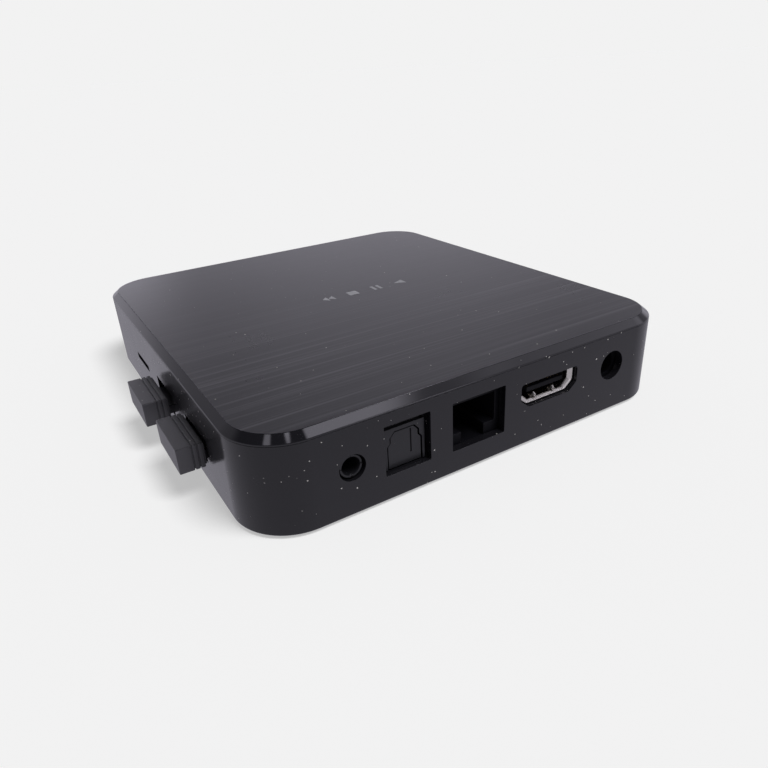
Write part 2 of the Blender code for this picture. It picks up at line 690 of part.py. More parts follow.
def dust_plug():
    """Ribbed grip outside the wall, with a flat insert that sits under the port's tongue."""
    stations = [(GAP, 0.5), (0.7, 0.5), (0.75, 0.0), (1.6, 0.0), (1.65, 0.25), (1.85, 0.25), (1.9, 0.0),
                (2.75, 0.0), (2.8, 0.25), (3.0, 0.25), (3.05, 0.0), (PLUG_LENGTH - 0.3, 0.0),
                (PLUG_LENGTH, 0.3)]
    grip = loft([[(x, y, z) for y, z in rectangle(PLUG_HALF[0] - inset, PLUG_HALF[1] - inset,
                                                  PLUG_CORNER, 3)] for x, inset in stations])
    insert = block((PLUG_INSERT_DEPTH, 0.5), (-PLUG_INSERT_HALF, PLUG_INSERT_HALF), PLUG_INSERT_Z)
    return shaped(grip, joins=[insert])


def card_socket():
    """Low steel socket for a memory card."""
    return shaped(block((-16.8, FACE), (-7.0, 7.0), (-0.9, 0.9)),
                  cuts=[block((-15.5, 0.0), (-5.7, 5.7), (-0.55, 0.55))])


# --- Internal lead ----------------------------------------------------------------

def antenna_lead(material, parent):
    """Thin coaxial lead from the radio module to the aerial, as a filled tube."""
    route = [(-43.6, -21.8, 12.2), (-44.4, -20.6, 12.9), (-45.8, -18.4, 13.4), (-47.4, -15.8, 13.7),
             (-48.9, -13.0, 13.9), (-50.1, -10.0, 14.1), (-50.9, -7.0, 14.2), (-51.3, -4.0, 14.2),
             (-51.35, -1.5, 14.2)]
    curve = bpy.data.curves.new("antenna_lead", "CURVE")
    curve.dimensions = "3D"
    curve.bevel_depth = 0.5 * MM
    curve.bevel_resolution = 2
    curve.use_fill_caps = True
    spline = curve.splines.new("POLY")
    spline.points.add(len(route) - 1)
    for point, place_mm in zip(spline.points, route):
        point.co = (*[value * MM for value in place_mm], 1.0)
    curve.materials.append(material)
    lead = bpy.data.objects.new("antenna_lead", curve)
    lead.parent = parent
    bpy.context.scene.collection.objects.link(lead)


# --- Assembly ---------------------------------------------------------------------

def build_case(case, look):
    """Housing, cover, window, screws and feet."""
    place("base_housing", finish(base_housing()), look["case_plastic"], (0, 0, 0), case)
    place("top_cover", finish(top_cover()), look["cover_plastic"], (0, 0, 0), case)
    place("front_window", finish(front_window()), look["smoked_window"], (0, -HALF_Y, WINDOW_Z), case)
    screw_mesh = finish(screw(HEAD_HEIGHT, CASE_SHANK))
    foot_mesh = finish(rubber_foot())
    for number, (x, y) in enumerate(SCREW_XY, 1):
        place(f"case_screw_{number}", screw_mesh, look["zinc"], (x, y, HEAD_SEAT - GAP), case)
        place(f"rubber_foot_{number}", foot_mesh, look["rubber"], (x, y, 0), case)


def build_board(case, look):
    """Board, its screws and everything soldered on top of it."""
    place("main_board", finish(main_board()), look["board_green"], (0, 0, 0), case)
    screw_mesh = finish(screw(BOARD_HEAD_HEIGHT, BOARD_SHANK))
    for number, (x, y) in enumerate(BOARD_SCREW_XY, 1):
        part = place(f"board_screw_{number}", screw_mesh, look["zinc"], (x, y, SEAT_Z), case)
        part.rotation_euler = (math.pi, 0, 0)
    processor = (-8.0, 6.0)
    stack_z = SEAT_Z
    for name, mesh, material, height in (("processor", chip(7.5, 7.5, 1.4), "chip_black", 1.4),
                                         ("thermal_pad", chip(7.0, 7.0, 0.7), "thermal_grey", 0.7),
                                         ("heatsink", heatsink(), "aluminium", 6.4)):
        place(name, finish(mesh), look[material], (*processor, stack_z), case)
        stack_z += height + GAP
    memory = finish(chip(4.5, 6.5, 1.1))
    place("memory_chip_1", memory, look["chip_black"], (18.0, 13.0, SEAT_Z), case)
    place("memory_chip_2", memory, look["chip_black"], (18.0, -4.0, SEAT_Z), case)
    place("flash_chip", finish(chip(5.75, 6.5, 1.2)), look["chip_black"], (-8.0, -24.0, SEAT_Z), case)
    can = finish(capacitor())
    place("capacitor_1", can, look["aluminium"], (-40.0, 24.0, SEAT_Z), case)
    place("capacitor_2", can, look["aluminium"], (-40.0, 15.0, SEAT_Z), case)
    place("power_inductor", finish(inductor()), look["ferrite"], (-34.0, 36.0, SEAT_Z), case)
    place("clock_crystal", finish(crystal()), look["steel"], (16.0, -24.0, SEAT_Z), case)
    place("lan_transformer", finish(chip(6.5, 4.5, 4.4)), look["chip_black"], (4.5, 34.0, SEAT_Z), case)
    place("radio_module", finish(wifi_module()), look["steel"], (-38.0, -28.0, SEAT_Z), case)
    place("radio_antenna", finish(wifi_antenna()), look["antenna_yellow"],
          (-HALF_X + WALL + GAP, -6.0, 14.2), case)
    place("infrared_receiver", finish(eye()), look["chip_black"], (EYE_X, -52.2, SEAT_Z), case)
    place("status_lamp", finish(lamp()), look["lamp_epoxy"], (LAMP_X, -52.2, SEAT_Z), case)
    antenna_lead(look["cable_grey"], case)


def build_rear_sockets(case, look):
    """Everything along the rear wall, with the two moving pieces on their own empties."""
    def rear(centre):
        return (centre[0], HALF_Y, centre[1])

    pieces = [
        ("power_socket", power_socket(), "socket_plastic", POWER_AT),
        ("power_pin", power_pin(), "steel", POWER_AT),
        ("video_shell", hdmi_shell(), "steel", HDMI_AT),
        ("video_insulator", hdmi_insulator(), "socket_plastic", HDMI_AT),
        ("lan_housing", lan_housing(), "socket_plastic", LAN_AT),
        ("lan_contacts", lan_contacts(), "gold", LAN_AT),
        ("optical_housing", optical_housing(), "socket_plastic", OPTICAL_AT),
        ("optical_emitter", optical_emitter(), "chip_black", OPTICAL_AT),
        ("av_socket", av_socket(), "socket_plastic", AV_AT),
        ("reset_switch", reset_switch(), "steel", AV_AT),
    ]
    for name, mesh, material, centre in pieces:
        place(name, finish(mesh), look[material], rear(centre), case)

    axis_y, axis_z = DOOR_AXIS
    hinge = empty("optical_door_axis", (OPTICAL_AT[0], HALF_Y + axis_y, OPTICAL_AT[1] + axis_z), case)
    place("optical_door", finish(optical_door()), look["socket_plastic"], (0, 0, 0), hinge)
    place("optical_door_spring", finish(door_spring()), look["steel"], (0, 0, 0), hinge)
    pin = finish(turned([(0.25, -PIN_HALF), (PIN_RADIUS, -PIN_HALF + 0.2), (PIN_RADIUS, PIN_HALF - 0.2),
                         (0.25, PIN_HALF)], "X", steps=12))
    place("optical_door_pin", pin, look["steel"], (0, 0, 0), hinge)

    press = empty("reset_button_axis", (AV_AT[0], HALF_Y - 15.6, AV_AT[1]), case)
    place("reset_button", finish(reset_button()), look["rubber"], (0, 0, 0), press)


def build_side_sockets(case, look):
    """USB ports with their dust plugs, and the memory card socket."""
    shell, tongue = finish(usb_shell()), finish(usb_tongue())
    plug = finish(dust_plug())
    for number, ((y, z), proud) in enumerate(zip(USB_AT, PLUG_PROUD), 1):
        place(f"port_shell_{number}", shell, look["steel"], (HALF_X, y, z), case)
        place(f"port_tongue_{number}", tongue, look["socket_plastic"], (HALF_X, y, z), case)
        slide = empty(f"dust_plug_axis_{number}", (HALF_X, y, z), case)
        place(f"dust_plug_{number}", plug, look["plug_rubber"], (proud, 0, 0), slide)
    place("card_socket", finish(card_socket()), look["steel"], (HALF_X, *CARD_AT), case)


def main():
    """Clear the scene and build the player."""
    for item in list(bpy.data.objects):
        bpy.data.objects.remove(item)
    look = make_materials()
    case = empty("case_frame", (CASE_X, 0, 0))
    build_case(case, look)
    build_board(case, look)
    build_rear_sockets(case, look)
    build_side_sockets(case, look)


main()
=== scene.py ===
"""Looks of a streaming media player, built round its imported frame.

The frame gives every part its place. This script gives the parts their finish: it
swaps the plain shells for finely rounded ones, adds the small pieces that the
sockets hold, dresses every part in a procedural material, and sets up a pale
studio. Lengths in the dataclasses are in millimetres, and MM turns them into metres.
"""
from __future__ import annotations

import json
import logging
import math
from dataclasses import dataclass, field
from enum import Enum
from typing import Sequence

import bmesh
import bpy
import numpy as np
from mathutils import Matrix, Vector

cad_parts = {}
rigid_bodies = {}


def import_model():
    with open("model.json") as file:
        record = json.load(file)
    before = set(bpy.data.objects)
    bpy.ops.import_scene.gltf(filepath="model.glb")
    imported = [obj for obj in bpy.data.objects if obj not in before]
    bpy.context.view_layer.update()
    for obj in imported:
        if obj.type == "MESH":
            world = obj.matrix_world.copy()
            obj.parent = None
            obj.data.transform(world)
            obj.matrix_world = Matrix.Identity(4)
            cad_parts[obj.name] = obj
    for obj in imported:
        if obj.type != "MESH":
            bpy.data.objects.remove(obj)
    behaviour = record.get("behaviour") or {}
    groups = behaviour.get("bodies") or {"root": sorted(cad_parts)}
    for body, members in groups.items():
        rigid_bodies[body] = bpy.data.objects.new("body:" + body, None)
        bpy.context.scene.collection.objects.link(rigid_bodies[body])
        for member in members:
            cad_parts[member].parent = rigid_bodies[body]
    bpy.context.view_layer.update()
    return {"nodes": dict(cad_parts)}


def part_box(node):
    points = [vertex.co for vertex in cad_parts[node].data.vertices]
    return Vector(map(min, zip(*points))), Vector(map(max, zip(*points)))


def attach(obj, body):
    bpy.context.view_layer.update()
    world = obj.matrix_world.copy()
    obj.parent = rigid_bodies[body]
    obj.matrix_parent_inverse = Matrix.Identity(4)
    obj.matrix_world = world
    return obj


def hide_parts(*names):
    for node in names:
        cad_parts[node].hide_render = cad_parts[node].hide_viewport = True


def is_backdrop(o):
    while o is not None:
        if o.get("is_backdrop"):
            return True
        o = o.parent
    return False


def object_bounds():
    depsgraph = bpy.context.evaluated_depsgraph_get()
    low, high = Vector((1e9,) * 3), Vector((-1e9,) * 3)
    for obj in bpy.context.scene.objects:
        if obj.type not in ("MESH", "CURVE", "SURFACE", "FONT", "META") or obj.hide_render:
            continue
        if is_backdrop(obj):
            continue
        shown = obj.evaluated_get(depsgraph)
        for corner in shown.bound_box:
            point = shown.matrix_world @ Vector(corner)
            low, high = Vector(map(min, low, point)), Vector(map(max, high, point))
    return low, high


MM = 0.001
MERGE_DISTANCE = 2e-6
FLAT_ANGLE = math.radians(0.6)
PLAYER = "player"
log = logging.getLogger("player")

Colour = tuple[float, float, float]
Station = tuple[float, float]


class Axis(Enum):
    """Way that a sweep runs, as the order in which (u, v, along) become x, y and z."""

    X = (2, 0, 1)
    Y = (0, 2, 1)
    Z = (0, 1, 2)


# --- Shapes ------------------------------------------------------------------------


@dataclass(frozen=True)
class Outline:
    """Closed outline given by its corners, anticlockwise, and the radius of each.

    Attributes:
        corners: (u, v) of each corner before rounding.
        radii: radius of each corner's arc.
        steps: segments in each arc.
    """

    corners: tuple[tuple[float, float], ...]
    radii: tuple[float, ...]
    steps: int = 6

    @staticmethod
    def rectangle(half_u: float, half_v: float, radius: float, steps: int = 6,
                  centre: tuple[float, float] = (0.0, 0.0)) -> "Outline":
        """Rectangle with four equal round corners about a centre.

        Args:
            half_u: half the width.
            half_v: half the height.
            radius: radius of the corners.
            steps: segments in each corner.
            centre: middle of the outline.

        Returns:
            The outline.
        """
        u, v = centre
        corners = ((u + half_u, v + half_v), (u - half_u, v + half_v),
                   (u - half_u, v - half_v), (u + half_u, v - half_v))
        return Outline(corners, (radius,) * 4, steps)

    @staticmethod
    def circle(radius: float, steps: int = 8, centre: tuple[float, float] = (0.0, 0.0)) -> "Outline":
        """Circle, which is a square whose corner radius is half its side."""
        return Outline.rectangle(radius, radius, radius, steps, centre)

    @staticmethod
    def symmetric(half: Sequence[tuple[float, float]], radius: float, steps: int = 4) -> "Outline":
        """Outline from its right-hand half, bottom to top, closed by its mirror image."""
        corners = tuple(half) + tuple((-u, v) for u, v in reversed(half))
        return Outline(corners, (radius,) * len(corners), steps)

    def ring(self, grow: float = 0.0) -> np.ndarray:
        """Points of the outline, moved outwards by a distance.

        Each corner moves along its mitre, the bisector of its two side normals, and
        becomes an arc whose radius changes by the same distance. The arc's points
        are centre + radius * (cos t, sin t), with t even between the side normals.

        Args:
            grow: distance to move every side outwards.

        Returns:
            Array of points, (corners * (steps + 1), 2).
        """
        points = np.array(self.corners, float)
        after = np.roll(points, -1, axis=0) - points
        after /= np.linalg.norm(after, axis=1, keepdims=True)
        before = np.roll(after, 1, axis=0)
        normal_before = np.stack([before[:, 1], -before[:, 0]], axis=1)
        normal_after = np.stack([after[:, 1], -after[:, 0]], axis=1)
        mitre = normal_before + normal_after
        mitre /= np.sum(mitre * normal_after, axis=1, keepdims=True)
        turn = before[:, 0] * after[:, 1] - before[:, 1] * after[:, 0]
        convex = np.where(turn >= 0, 1.0, -1.0)
        radii = np.maximum(np.array(self.radii) + convex * grow, 1e-4)
        centres = points + mitre * (grow - convex * radii)[:, None]
        start = np.arctan2(convex * normal_before[:, 1], convex * normal_before[:, 0])
        swing = np.arctan2(turn, np.sum(before * after, axis=1))
        share = np.linspace(0.0, 1.0, self.steps + 1)
        angles = start[:, None] + swing[:, None] * share
        arcs = np.stack([np.cos(angles), np.sin(angles)], axis=2) * radii[:, None, None]
        return (centres[:, None, :] + arcs).reshape(-1, 2)


def rounded_profile(points: Sequence[Station], radii: Sequence[float], steps: int = 5) -> list[Station]:
    """Round the inner corners of an open profile.

    Each corner between the ends becomes an arc tangent to both its sides: its
    centre lies on the bisector at radius / sin(half the corner's angle).

    Args:
        points: profile corners as (grow, along) pairs.
        radii: one radius for each point; the two ends' are not used.
        steps: segments in each arc.

    Returns:
        Profile points with the arcs in place.
    """
    corners = np.array(points, float)
    result = [tuple(corners[0])]
    for before, corner, after, radius in zip(corners, corners[1:], corners[2:], radii[1:]):
        if radius <= 0:
            result.append(tuple(corner))
            continue
        to_before = (before - corner) / np.linalg.norm(before - corner)
        to_after = (after - corner) / np.linalg.norm(after - corner)
        half = math.acos(np.clip(to_before @ to_after, -1, 1)) / 2
        bisector = (to_before + to_after) / np.linalg.norm(to_before + to_after)
        centre = corner + bisector * radius / math.sin(half)
        first = corner + to_before * radius / math.tan(half) - centre
        last = corner + to_after * radius / math.tan(half) - centre
        start = math.atan2(first[1], first[0])
        swing = (math.atan2(last[1], last[0]) - start + math.pi) % (2 * math.pi) - math.pi
        angles = start + swing * np.linspace(0, 1, steps + 1)
        arc = centre + radius * np.stack([np.cos(angles), np.sin(angles)], axis=1)
        result += [tuple(point) for point in arc]
    result.append(tuple(corners[-1]))
    return result


def mesh_from_rings(rings: np.ndarray, capped: bool = True) -> bpy.types.Mesh:
    """Skin a grid of points, whose rows are closed rings, into a mesh.

    Args:
        rings: (rows, columns, 3) array in millimetres.
        capped: whether the first and last ring are closed with a face.

    Returns:
        Mesh in metres whose faces point outwards.
    """
    rows, columns = rings.shape[:2]
    index = np.arange(rows * columns).reshape(rows, columns)
    ahead = np.roll(index, -1, axis=1)
    quads = np.stack([index[:-1], ahead[:-1], ahead[1:], index[1:]], axis=-1).reshape(-1, 4)
    faces = quads.tolist()
    if capped:
        faces += [index[0][::-1].tolist(), index[-1].tolist()]
    mesh = bpy.data.meshes.new("skin")
    mesh.from_pydata((rings.reshape(-1, 3) * MM).tolist(), [], faces)
    corners = rings.reshape(-1, 3)[quads]
    middle = rings.reshape(-1, 3).mean(axis=0)
    triple = np.einsum("ij,ij->i", corners[:, 0] - middle,
                       np.cross(corners[:, 1] - middle, corners[:, 2] - middle))
    triple += np.einsum("ij,ij->i", corners[:, 0] - middle,
                        np.cross(corners[:, 2] - middle, corners[:, 3] - middle))
    if triple.sum() < 0:
        mesh.flip_normals()
    mesh.validate()
    return mesh


def sweep(outline: Outline, stations: Sequence[Station], axis: Axis,
          origin: tuple[float, float, float] = (0.0, 0.0, 0.0), capped: bool = True) -> bpy.types.Mesh:
    """Carry an outline along an axis, growing or shrinking it at each station.

    The surface is p(s, t) = origin + ring(grow(s))(t) + along(s) * axis.

    Args:
        outline: outline square to the axis.
        stations: (grow, along) pairs.
        axis: way the stations run.
        origin: where (0, 0) at along 0 lies.
        capped: whether both ends are closed.

    Returns:
        Mesh in metres.
    """
    rings = []
    for grow, along in stations:
        flat = outline.ring(grow)
        local = np.concatenate([flat, np.full((len(flat), 1), along)], axis=1)
        rings.append(local[:, list(axis.value)])
    return mesh_from_rings(np.array(rings) + np.array(origin), capped)


def box_mesh(low: Sequence[float], high: Sequence[float], radius: float = 0.02) -> bpy.types.Mesh:
    """Box between two corners, with its upright edges rounded.

    Args:
        low: corner with the lowest coordinates, in millimetres.
        high: corner with the highest coordinates, in millimetres.
        radius: radius of the upright edges.

    Returns:
        Mesh in metres.
    """
    centre = [(a + b) / 2 for a, b in zip(low, high)]
    outline = Outline.rectangle((high[0] - low[0]) / 2, (high[1] - low[1]) / 2, radius, 2,
                                (centre[0], centre[1]))
    return sweep(outline, [(0.0, low[2]), (0.0, high[2])], Axis.Z)


def joined(meshes: Sequence[bpy.types.Mesh]) -> bpy.types.Mesh:
    """Put several closed meshes into one.

    Args:
        meshes: closed meshes.

    Returns:
        Mesh in metres.
    """
    bm = bmesh.new()
    for mesh in meshes:
        bm.from_mesh(mesh)
        bpy.data.meshes.remove(mesh)
    result = bpy.data.meshes.new("joined")
    bm.to_mesh(result)
    bm.free()
    return result


def evaluated(work: bpy.types.Object) -> bpy.types.Mesh:
    """Mesh of an object with its modifiers applied."""
    graph = bpy.context.evaluated_depsgraph_get()
    return bpy.data.meshes.new_from_object(work.evaluated_get(graph))


def carved(base: bpy.types.Mesh, joins: Sequence[bpy.types.Mesh] = (),
           cuts: Sequence[bpy.types.Mesh] = ()) -> bpy.types.Mesh:
    """Join meshes to a base, then cut others out of it.

    Args:
        base: mesh to start from.
        joins: meshes to add.
        cuts: meshes to cut out.

    Returns:
        Mesh in metres.
    """
    collection = bpy.context.scene.collection
    work = bpy.data.objects.new("work", base)
    collection.objects.link(work)
    helpers = []
    for operation, meshes in (("UNION", joins), ("DIFFERENCE", cuts)):
        for mesh in meshes:
            helper = bpy.data.objects.new("helper", mesh)
            collection.objects.link(helper)
            helpers.append(helper)
            modifier = work.modifiers.new(operation, "BOOLEAN")
            modifier.operation = operation
            modifier.object = helper
            modifier.solver = "EXACT"
    result = evaluated(work)
    for item in [work] + helpers:
        bpy.data.objects.remove(item)
    return result


@dataclass(frozen=True)
class Softening:
    """How a piece's sharp edges are rounded: width in millimetres, segments, and the least angle."""

    width: float = 0.12
    segments: int = 2
    angle: float = 40.0


FINE = Softening(0.06, 2, 40.0)
NONE = Softening(0.0)


def softened(mesh: bpy.types.Mesh, soft: Softening) -> bpy.types.Mesh:
    """Round a mesh's sharp edges and keep its flats flat under smooth shading.

    Args:
        mesh: mesh to round.
        soft: how its sharp edges are rounded.

    Returns:
        Mesh in metres.
    """
    work = bpy.data.objects.new("soften", mesh)
    bpy.context.scene.collection.objects.link(work)
    if soft.width > 0:
        bevel = work.modifiers.new("edges", "BEVEL")
        bevel.width = soft.width * MM
        bevel.segments = soft.segments
        bevel.limit_method = "ANGLE"
        bevel.angle_limit = math.radians(soft.angle)
        bevel.miter_outer = "MITER_ARC"
        bevel.use_clamp_overlap = True
    mesh.shade_smooth()
    weighted = work.modifiers.new("flats", "WEIGHTED_NORMAL")
    weighted.weight = 80
    weighted.keep_sharp = True
    result = evaluated(work)
    bpy.data.objects.remove(work)
    return result


# --- Shader groups -----------------------------------------------------------------


@dataclass
class NodeTree:
    """Short way to add and link nodes in a tree."""

    tree: bpy.types.NodeTree

    def add(self, kind: str, **settings: object) -> bpy.types.Node:
        """Add a node; settings name its properties, or its inputs as in_NAME with _ for a space.

        Args:
            kind: node type.
            settings: properties, or input values after in_.

        Returns:
            The new node.
        """
        node = self.tree.nodes.new(kind)
        for key, value in settings.items():
            if key.startswith("in_"):
                node.inputs[key[3:].replace("_", " ")].default_value = value
            else:
                setattr(node, key, value)
        return node

    def link(self, source: bpy.types.NodeSocket, target: bpy.types.NodeSocket) -> None:
        """Link an output to an input."""
        self.tree.links.new(source, target)

    def maths(self, operation: str, first: object, second: object = 0.0) -> bpy.types.NodeSocket:
        """Add a Math node fed by sockets or numbers, and return its output.

        Args:
            operation: Math operation.
            first: first operand.
            second: second operand.

        Returns:
            Socket of the result.
        """
        node = self.add("ShaderNodeMath", operation=operation)
        for socket, value in zip(node.inputs, (first, second)):
            if isinstance(value, bpy.types.NodeSocket):
                self.link(value, socket)
            else:
                socket.default_value = value
        return node.outputs[0]

    def remap(self, value: bpy.types.NodeSocket, low: float, high: float,
              to_low: float = 0.0, to_high: float = 1.0) -> bpy.types.NodeSocket:
        """Carry a value from one range smoothly to another, clamped.

        Args:
            value: value to carry over.
            low: value that gives to_low.
            high: value that gives to_high.
            to_low: result at low.
            to_high: result at high.

        Returns:
            Socket of the result.
        """
        node = self.add("ShaderNodeMapRange", interpolation_type="SMOOTHSTEP")
        for socket, number in zip(node.inputs[1:5], (low, high, to_low, to_high)):
            socket.default_value = number
        self.link(value, node.inputs["Value"])
        return node.outputs["Result"]

    def noise(self, vector: bpy.types.NodeSocket, scale: object, detail: float = 3.0,
              roughness: float = 0.5) -> bpy.types.NodeSocket:
        """Noise value over a vector; the scale is a number or a socket.

        Args:
            vector: coordinates that the pattern reads.
            scale: scale of the pattern.
            detail: number of octaves.
            roughness: weight of the finer octaves.

        Returns:
            Socket of the result.
        """
        node = self.add("ShaderNodeTexNoise", in_Detail=detail, in_Roughness=roughness)
        self.link(vector, node.inputs["Vector"])
        if isinstance(scale, bpy.types.NodeSocket):
            self.link(scale, node.inputs["Scale"])
        else:
            node.inputs["Scale"].default_value = scale
        return node.outputs["Fac"]

    def stretched(self, vector: bpy.types.NodeSocket, scale: tuple[float, float, float],
                  turn: tuple[float, float, float] = (0.0, 0.0, 0.0)) -> bpy.types.NodeSocket:
        """Scale and turn a vector.

        Args:
            vector: coordinates that the pattern reads.
            scale: scale of the pattern.
            turn: rotation of the pattern.

        Returns:
            Socket of the result.
        """
        node = self.add("ShaderNodeMapping", in_Scale=scale, in_Rotation=turn)
        self.link(vector, node.inputs["Vector"])
        return node.outputs["Vector"]


class Groups:
    """Shared shader effects, each made once and placed in many materials."""

    _made: dict[str, bpy.types.NodeTree] = {}

    @classmethod
    def _new(cls, name: str, inputs: Sequence[tuple[str, str, float]],
             outputs: Sequence[tuple[str, str]]) -> tuple[NodeTree, bpy.types.Node, bpy.types.Node]:
        """Start a group with named sockets.

        Args:
            name: group name.
            inputs: (name, kind, start value) of each input.
            outputs: (name, kind) of each output.

        Returns:
            The tree helper, the group's input node and its output node.
        """
        group = bpy.data.node_groups.new(name, "ShaderNodeTree")
        for label, kind, value in inputs:
            socket = group.interface.new_socket(label, in_out="INPUT", socket_type=kind)
            if kind == "NodeSocketFloat":
                socket.default_value = value
        for label, kind in outputs:
            group.interface.new_socket(label, in_out="OUTPUT", socket_type=kind)
        cls._made[name] = group
        tree = NodeTree(group)
        return tree, tree.add("NodeGroupInput"), tree.add("NodeGroupOutput")

    @classmethod
    def grain(cls) -> bpy.types.NodeTree:
        """Fine moulded grain: two noises, one three times finer, as a height from 0 to 1.

        Returns:
            The group.
        """
        if "moulded_grain" not in cls._made:
            tree, source, sink = cls._new(
                "moulded_grain", [("Vector", "NodeSocketVector", 0), ("Scale", "NodeSocketFloat", 2000.0)],
                [("Height", "NodeSocketFloat")])
            coarse = tree.noise(source.outputs["Vector"], source.outputs["Scale"], 2.0)
            finer = tree.maths("MULTIPLY", source.outputs["Scale"], 3.1)
            fine = tree.noise(source.outputs["Vector"], finer, 1.0)
            total = tree.maths("ADD", coarse, tree.maths("MULTIPLY", fine, 0.5))
            tree.link(tree.maths("MULTIPLY", total, 0.66), sink.inputs["Height"])
        return cls._made["moulded_grain"]

    @classmethod
    def smudge(cls) -> bpy.types.NodeTree:
        """Handling marks: a roughness that drifts about a mean with slow and quick noise.

        Returns:
            The group.
        """
        if "handling_smudge" not in cls._made:
            tree, source, sink = cls._new(
                "handling_smudge", [("Vector", "NodeSocketVector", 0), ("Roughness", "NodeSocketFloat", 0.3),
                                    ("Spread", "NodeSocketFloat", 0.08)], [("Roughness", "NodeSocketFloat")])
            slow = tree.noise(source.outputs["Vector"], 38.0, 4.0, 0.6)
            quick = tree.noise(source.outputs["Vector"], 420.0, 2.0)
            drift = tree.maths("ADD", tree.maths("MULTIPLY", slow, 0.75), tree.maths("MULTIPLY", quick, 0.25))
            centred = tree.maths("MULTIPLY", tree.maths("SUBTRACT", drift, 0.5), 2.0)
            change = tree.maths("MULTIPLY", centred, source.outputs["Spread"])
            tree.link(tree.maths("ADD", source.outputs["Roughness"], change), sink.inputs["Roughness"])
        return cls._made["handling_smudge"]

    @classmethod
    def dust(cls) -> bpy.types.NodeTree:
        """Sparse specks of dust and lint over a colour.

        A speck is where the distance to a random point is small and that point's
        random number is under the amount; a second, finer set adds powder.

        Returns:
            The group.
        """
        if "settled_dust" not in cls._made:
            tree, source, sink = cls._new(
                "settled_dust", [("Vector", "NodeSocketVector", 0), ("Color", "NodeSocketColor", 0),
                                 ("Amount", "NodeSocketFloat", 0.3)],
                [("Color", "NodeSocketColor"), ("Mask", "NodeSocketFloat")])
            masks = []
            for scale, size, share in ((330.0, 0.046, 1.0), (760.0, 0.075, 0.6)):
                cells = tree.add("ShaderNodeTexVoronoi", in_Scale=scale)
                warp = tree.add("ShaderNodeTexNoise", in_Scale=scale * 6)
                bend = tree.add("ShaderNodeMixRGB", blend_type="ADD", in_Fac=0.00022)
                tree.link(source.outputs["Vector"], warp.inputs["Vector"])
                tree.link(source.outputs["Vector"], bend.inputs["Color1"])
                tree.link(warp.outputs["Color"], bend.inputs["Color2"])
                tree.link(bend.outputs[0], cells.inputs["Vector"])
                close = tree.remap(cells.outputs["Distance"], size, size * 1.6, 1.0, 0.0)
                pick = tree.add("ShaderNodeSeparateColor")
                tree.link(cells.outputs["Color"], pick.inputs[0])
                limit = tree.maths("MULTIPLY", source.outputs["Amount"], share)
                chosen = tree.maths("LESS_THAN", pick.outputs[0], limit)
                faint = tree.remap(pick.outputs[1], 0.0, 1.0, 0.25, 1.0)
                masks.append(tree.maths("MULTIPLY", tree.maths("MULTIPLY", close, chosen), faint))
            mask = tree.maths("MINIMUM", tree.maths("ADD", *masks), 1.0)
            mix = tree.add("ShaderNodeMixRGB", in_Color2=(0.62, 0.60, 0.57, 1.0))
            tree.link(mask, mix.inputs["Fac"])
            tree.link(source.outputs["Color"], mix.inputs["Color1"])
            tree.link(mix.outputs[0], sink.inputs["Color"])
            tree.link(mask, sink.inputs["Mask"])
        return cls._made["settled_dust"]

    @classmethod
    def hairline(cls) -> bpy.types.NodeTree:
        """Straight fine lines along X: noises stretched far more along X than across it. The second output
        masks lighter painted glints along the lines.

        Returns:
            The group.
        """
        if "hairline" not in cls._made:
            tree, source, sink = cls._new(
                "hairline", [("Vector", "NodeSocketVector", 0)],
                [("Height", "NodeSocketFloat"), ("GlintStreak", "NodeSocketFloat")])
            medium = tree.noise(tree.stretched(source.outputs["Vector"], (9.0, 1500.0, 1.0)), 1.0, 2.0)
            broad = tree.noise(tree.stretched(source.outputs["Vector"], (4.0, 300.0, 1.0)), 1.0, 3.0, 0.7)
            glint_streak = tree.maths("MULTIPLY", tree.remap(medium, 0.42, 0.66),
                                tree.remap(broad, 0.34, 0.68, 0.12, 1.0))
            tree.link(medium, sink.inputs["Height"])
            tree.link(tree.maths("MINIMUM", glint_streak, 1.0), sink.inputs["GlintStreak"])
        return cls._made["hairline"]

    @classmethod
    def drawn(cls) -> bpy.types.NodeTree:
        """Rolling marks of sheet metal: stretched noise as a height and a roughness drift.

        Returns:
            The group.
        """
        if "drawn_metal" not in cls._made:
            tree, source, sink = cls._new(
                "drawn_metal", [("Vector", "NodeSocketVector", 0), ("Roughness", "NodeSocketFloat", 0.3)],
                [("Height", "NodeSocketFloat"), ("Roughness", "NodeSocketFloat")])
            lines = tree.noise(tree.stretched(source.outputs["Vector"], (120.0, 120.0, 2600.0)), 1.0, 3.0)
            spots = tree.noise(source.outputs["Vector"], 900.0, 3.0)
            drift = tree.maths("MULTIPLY", tree.maths("SUBTRACT", spots, 0.5), 0.35)
            tree.link(lines, sink.inputs["Height"])
            tree.link(tree.maths("ADD", source.outputs["Roughness"], drift), sink.inputs["Roughness"])
        return cls._made["drawn_metal"]


def use_group(tree: NodeTree, group: bpy.types.NodeTree, vector: bpy.types.NodeSocket,
              **values: float) -> bpy.types.Node:
    """Place a shared group in a material, fed by a vector and its own values.

    Args:
        tree: node helper of the material.
        group: the shared group.
        vector: coordinates that the pattern reads.
        values: the group's own input values.

    Returns:
        The new node.
    """
    node = tree.add("ShaderNodeGroup", node_tree=group)
    tree.link(vector, node.inputs["Vector"])
    for key, value in values.items():
        node.inputs[key].default_value = value
    return node


# --- Finishes ----------------------------------------------------------------------


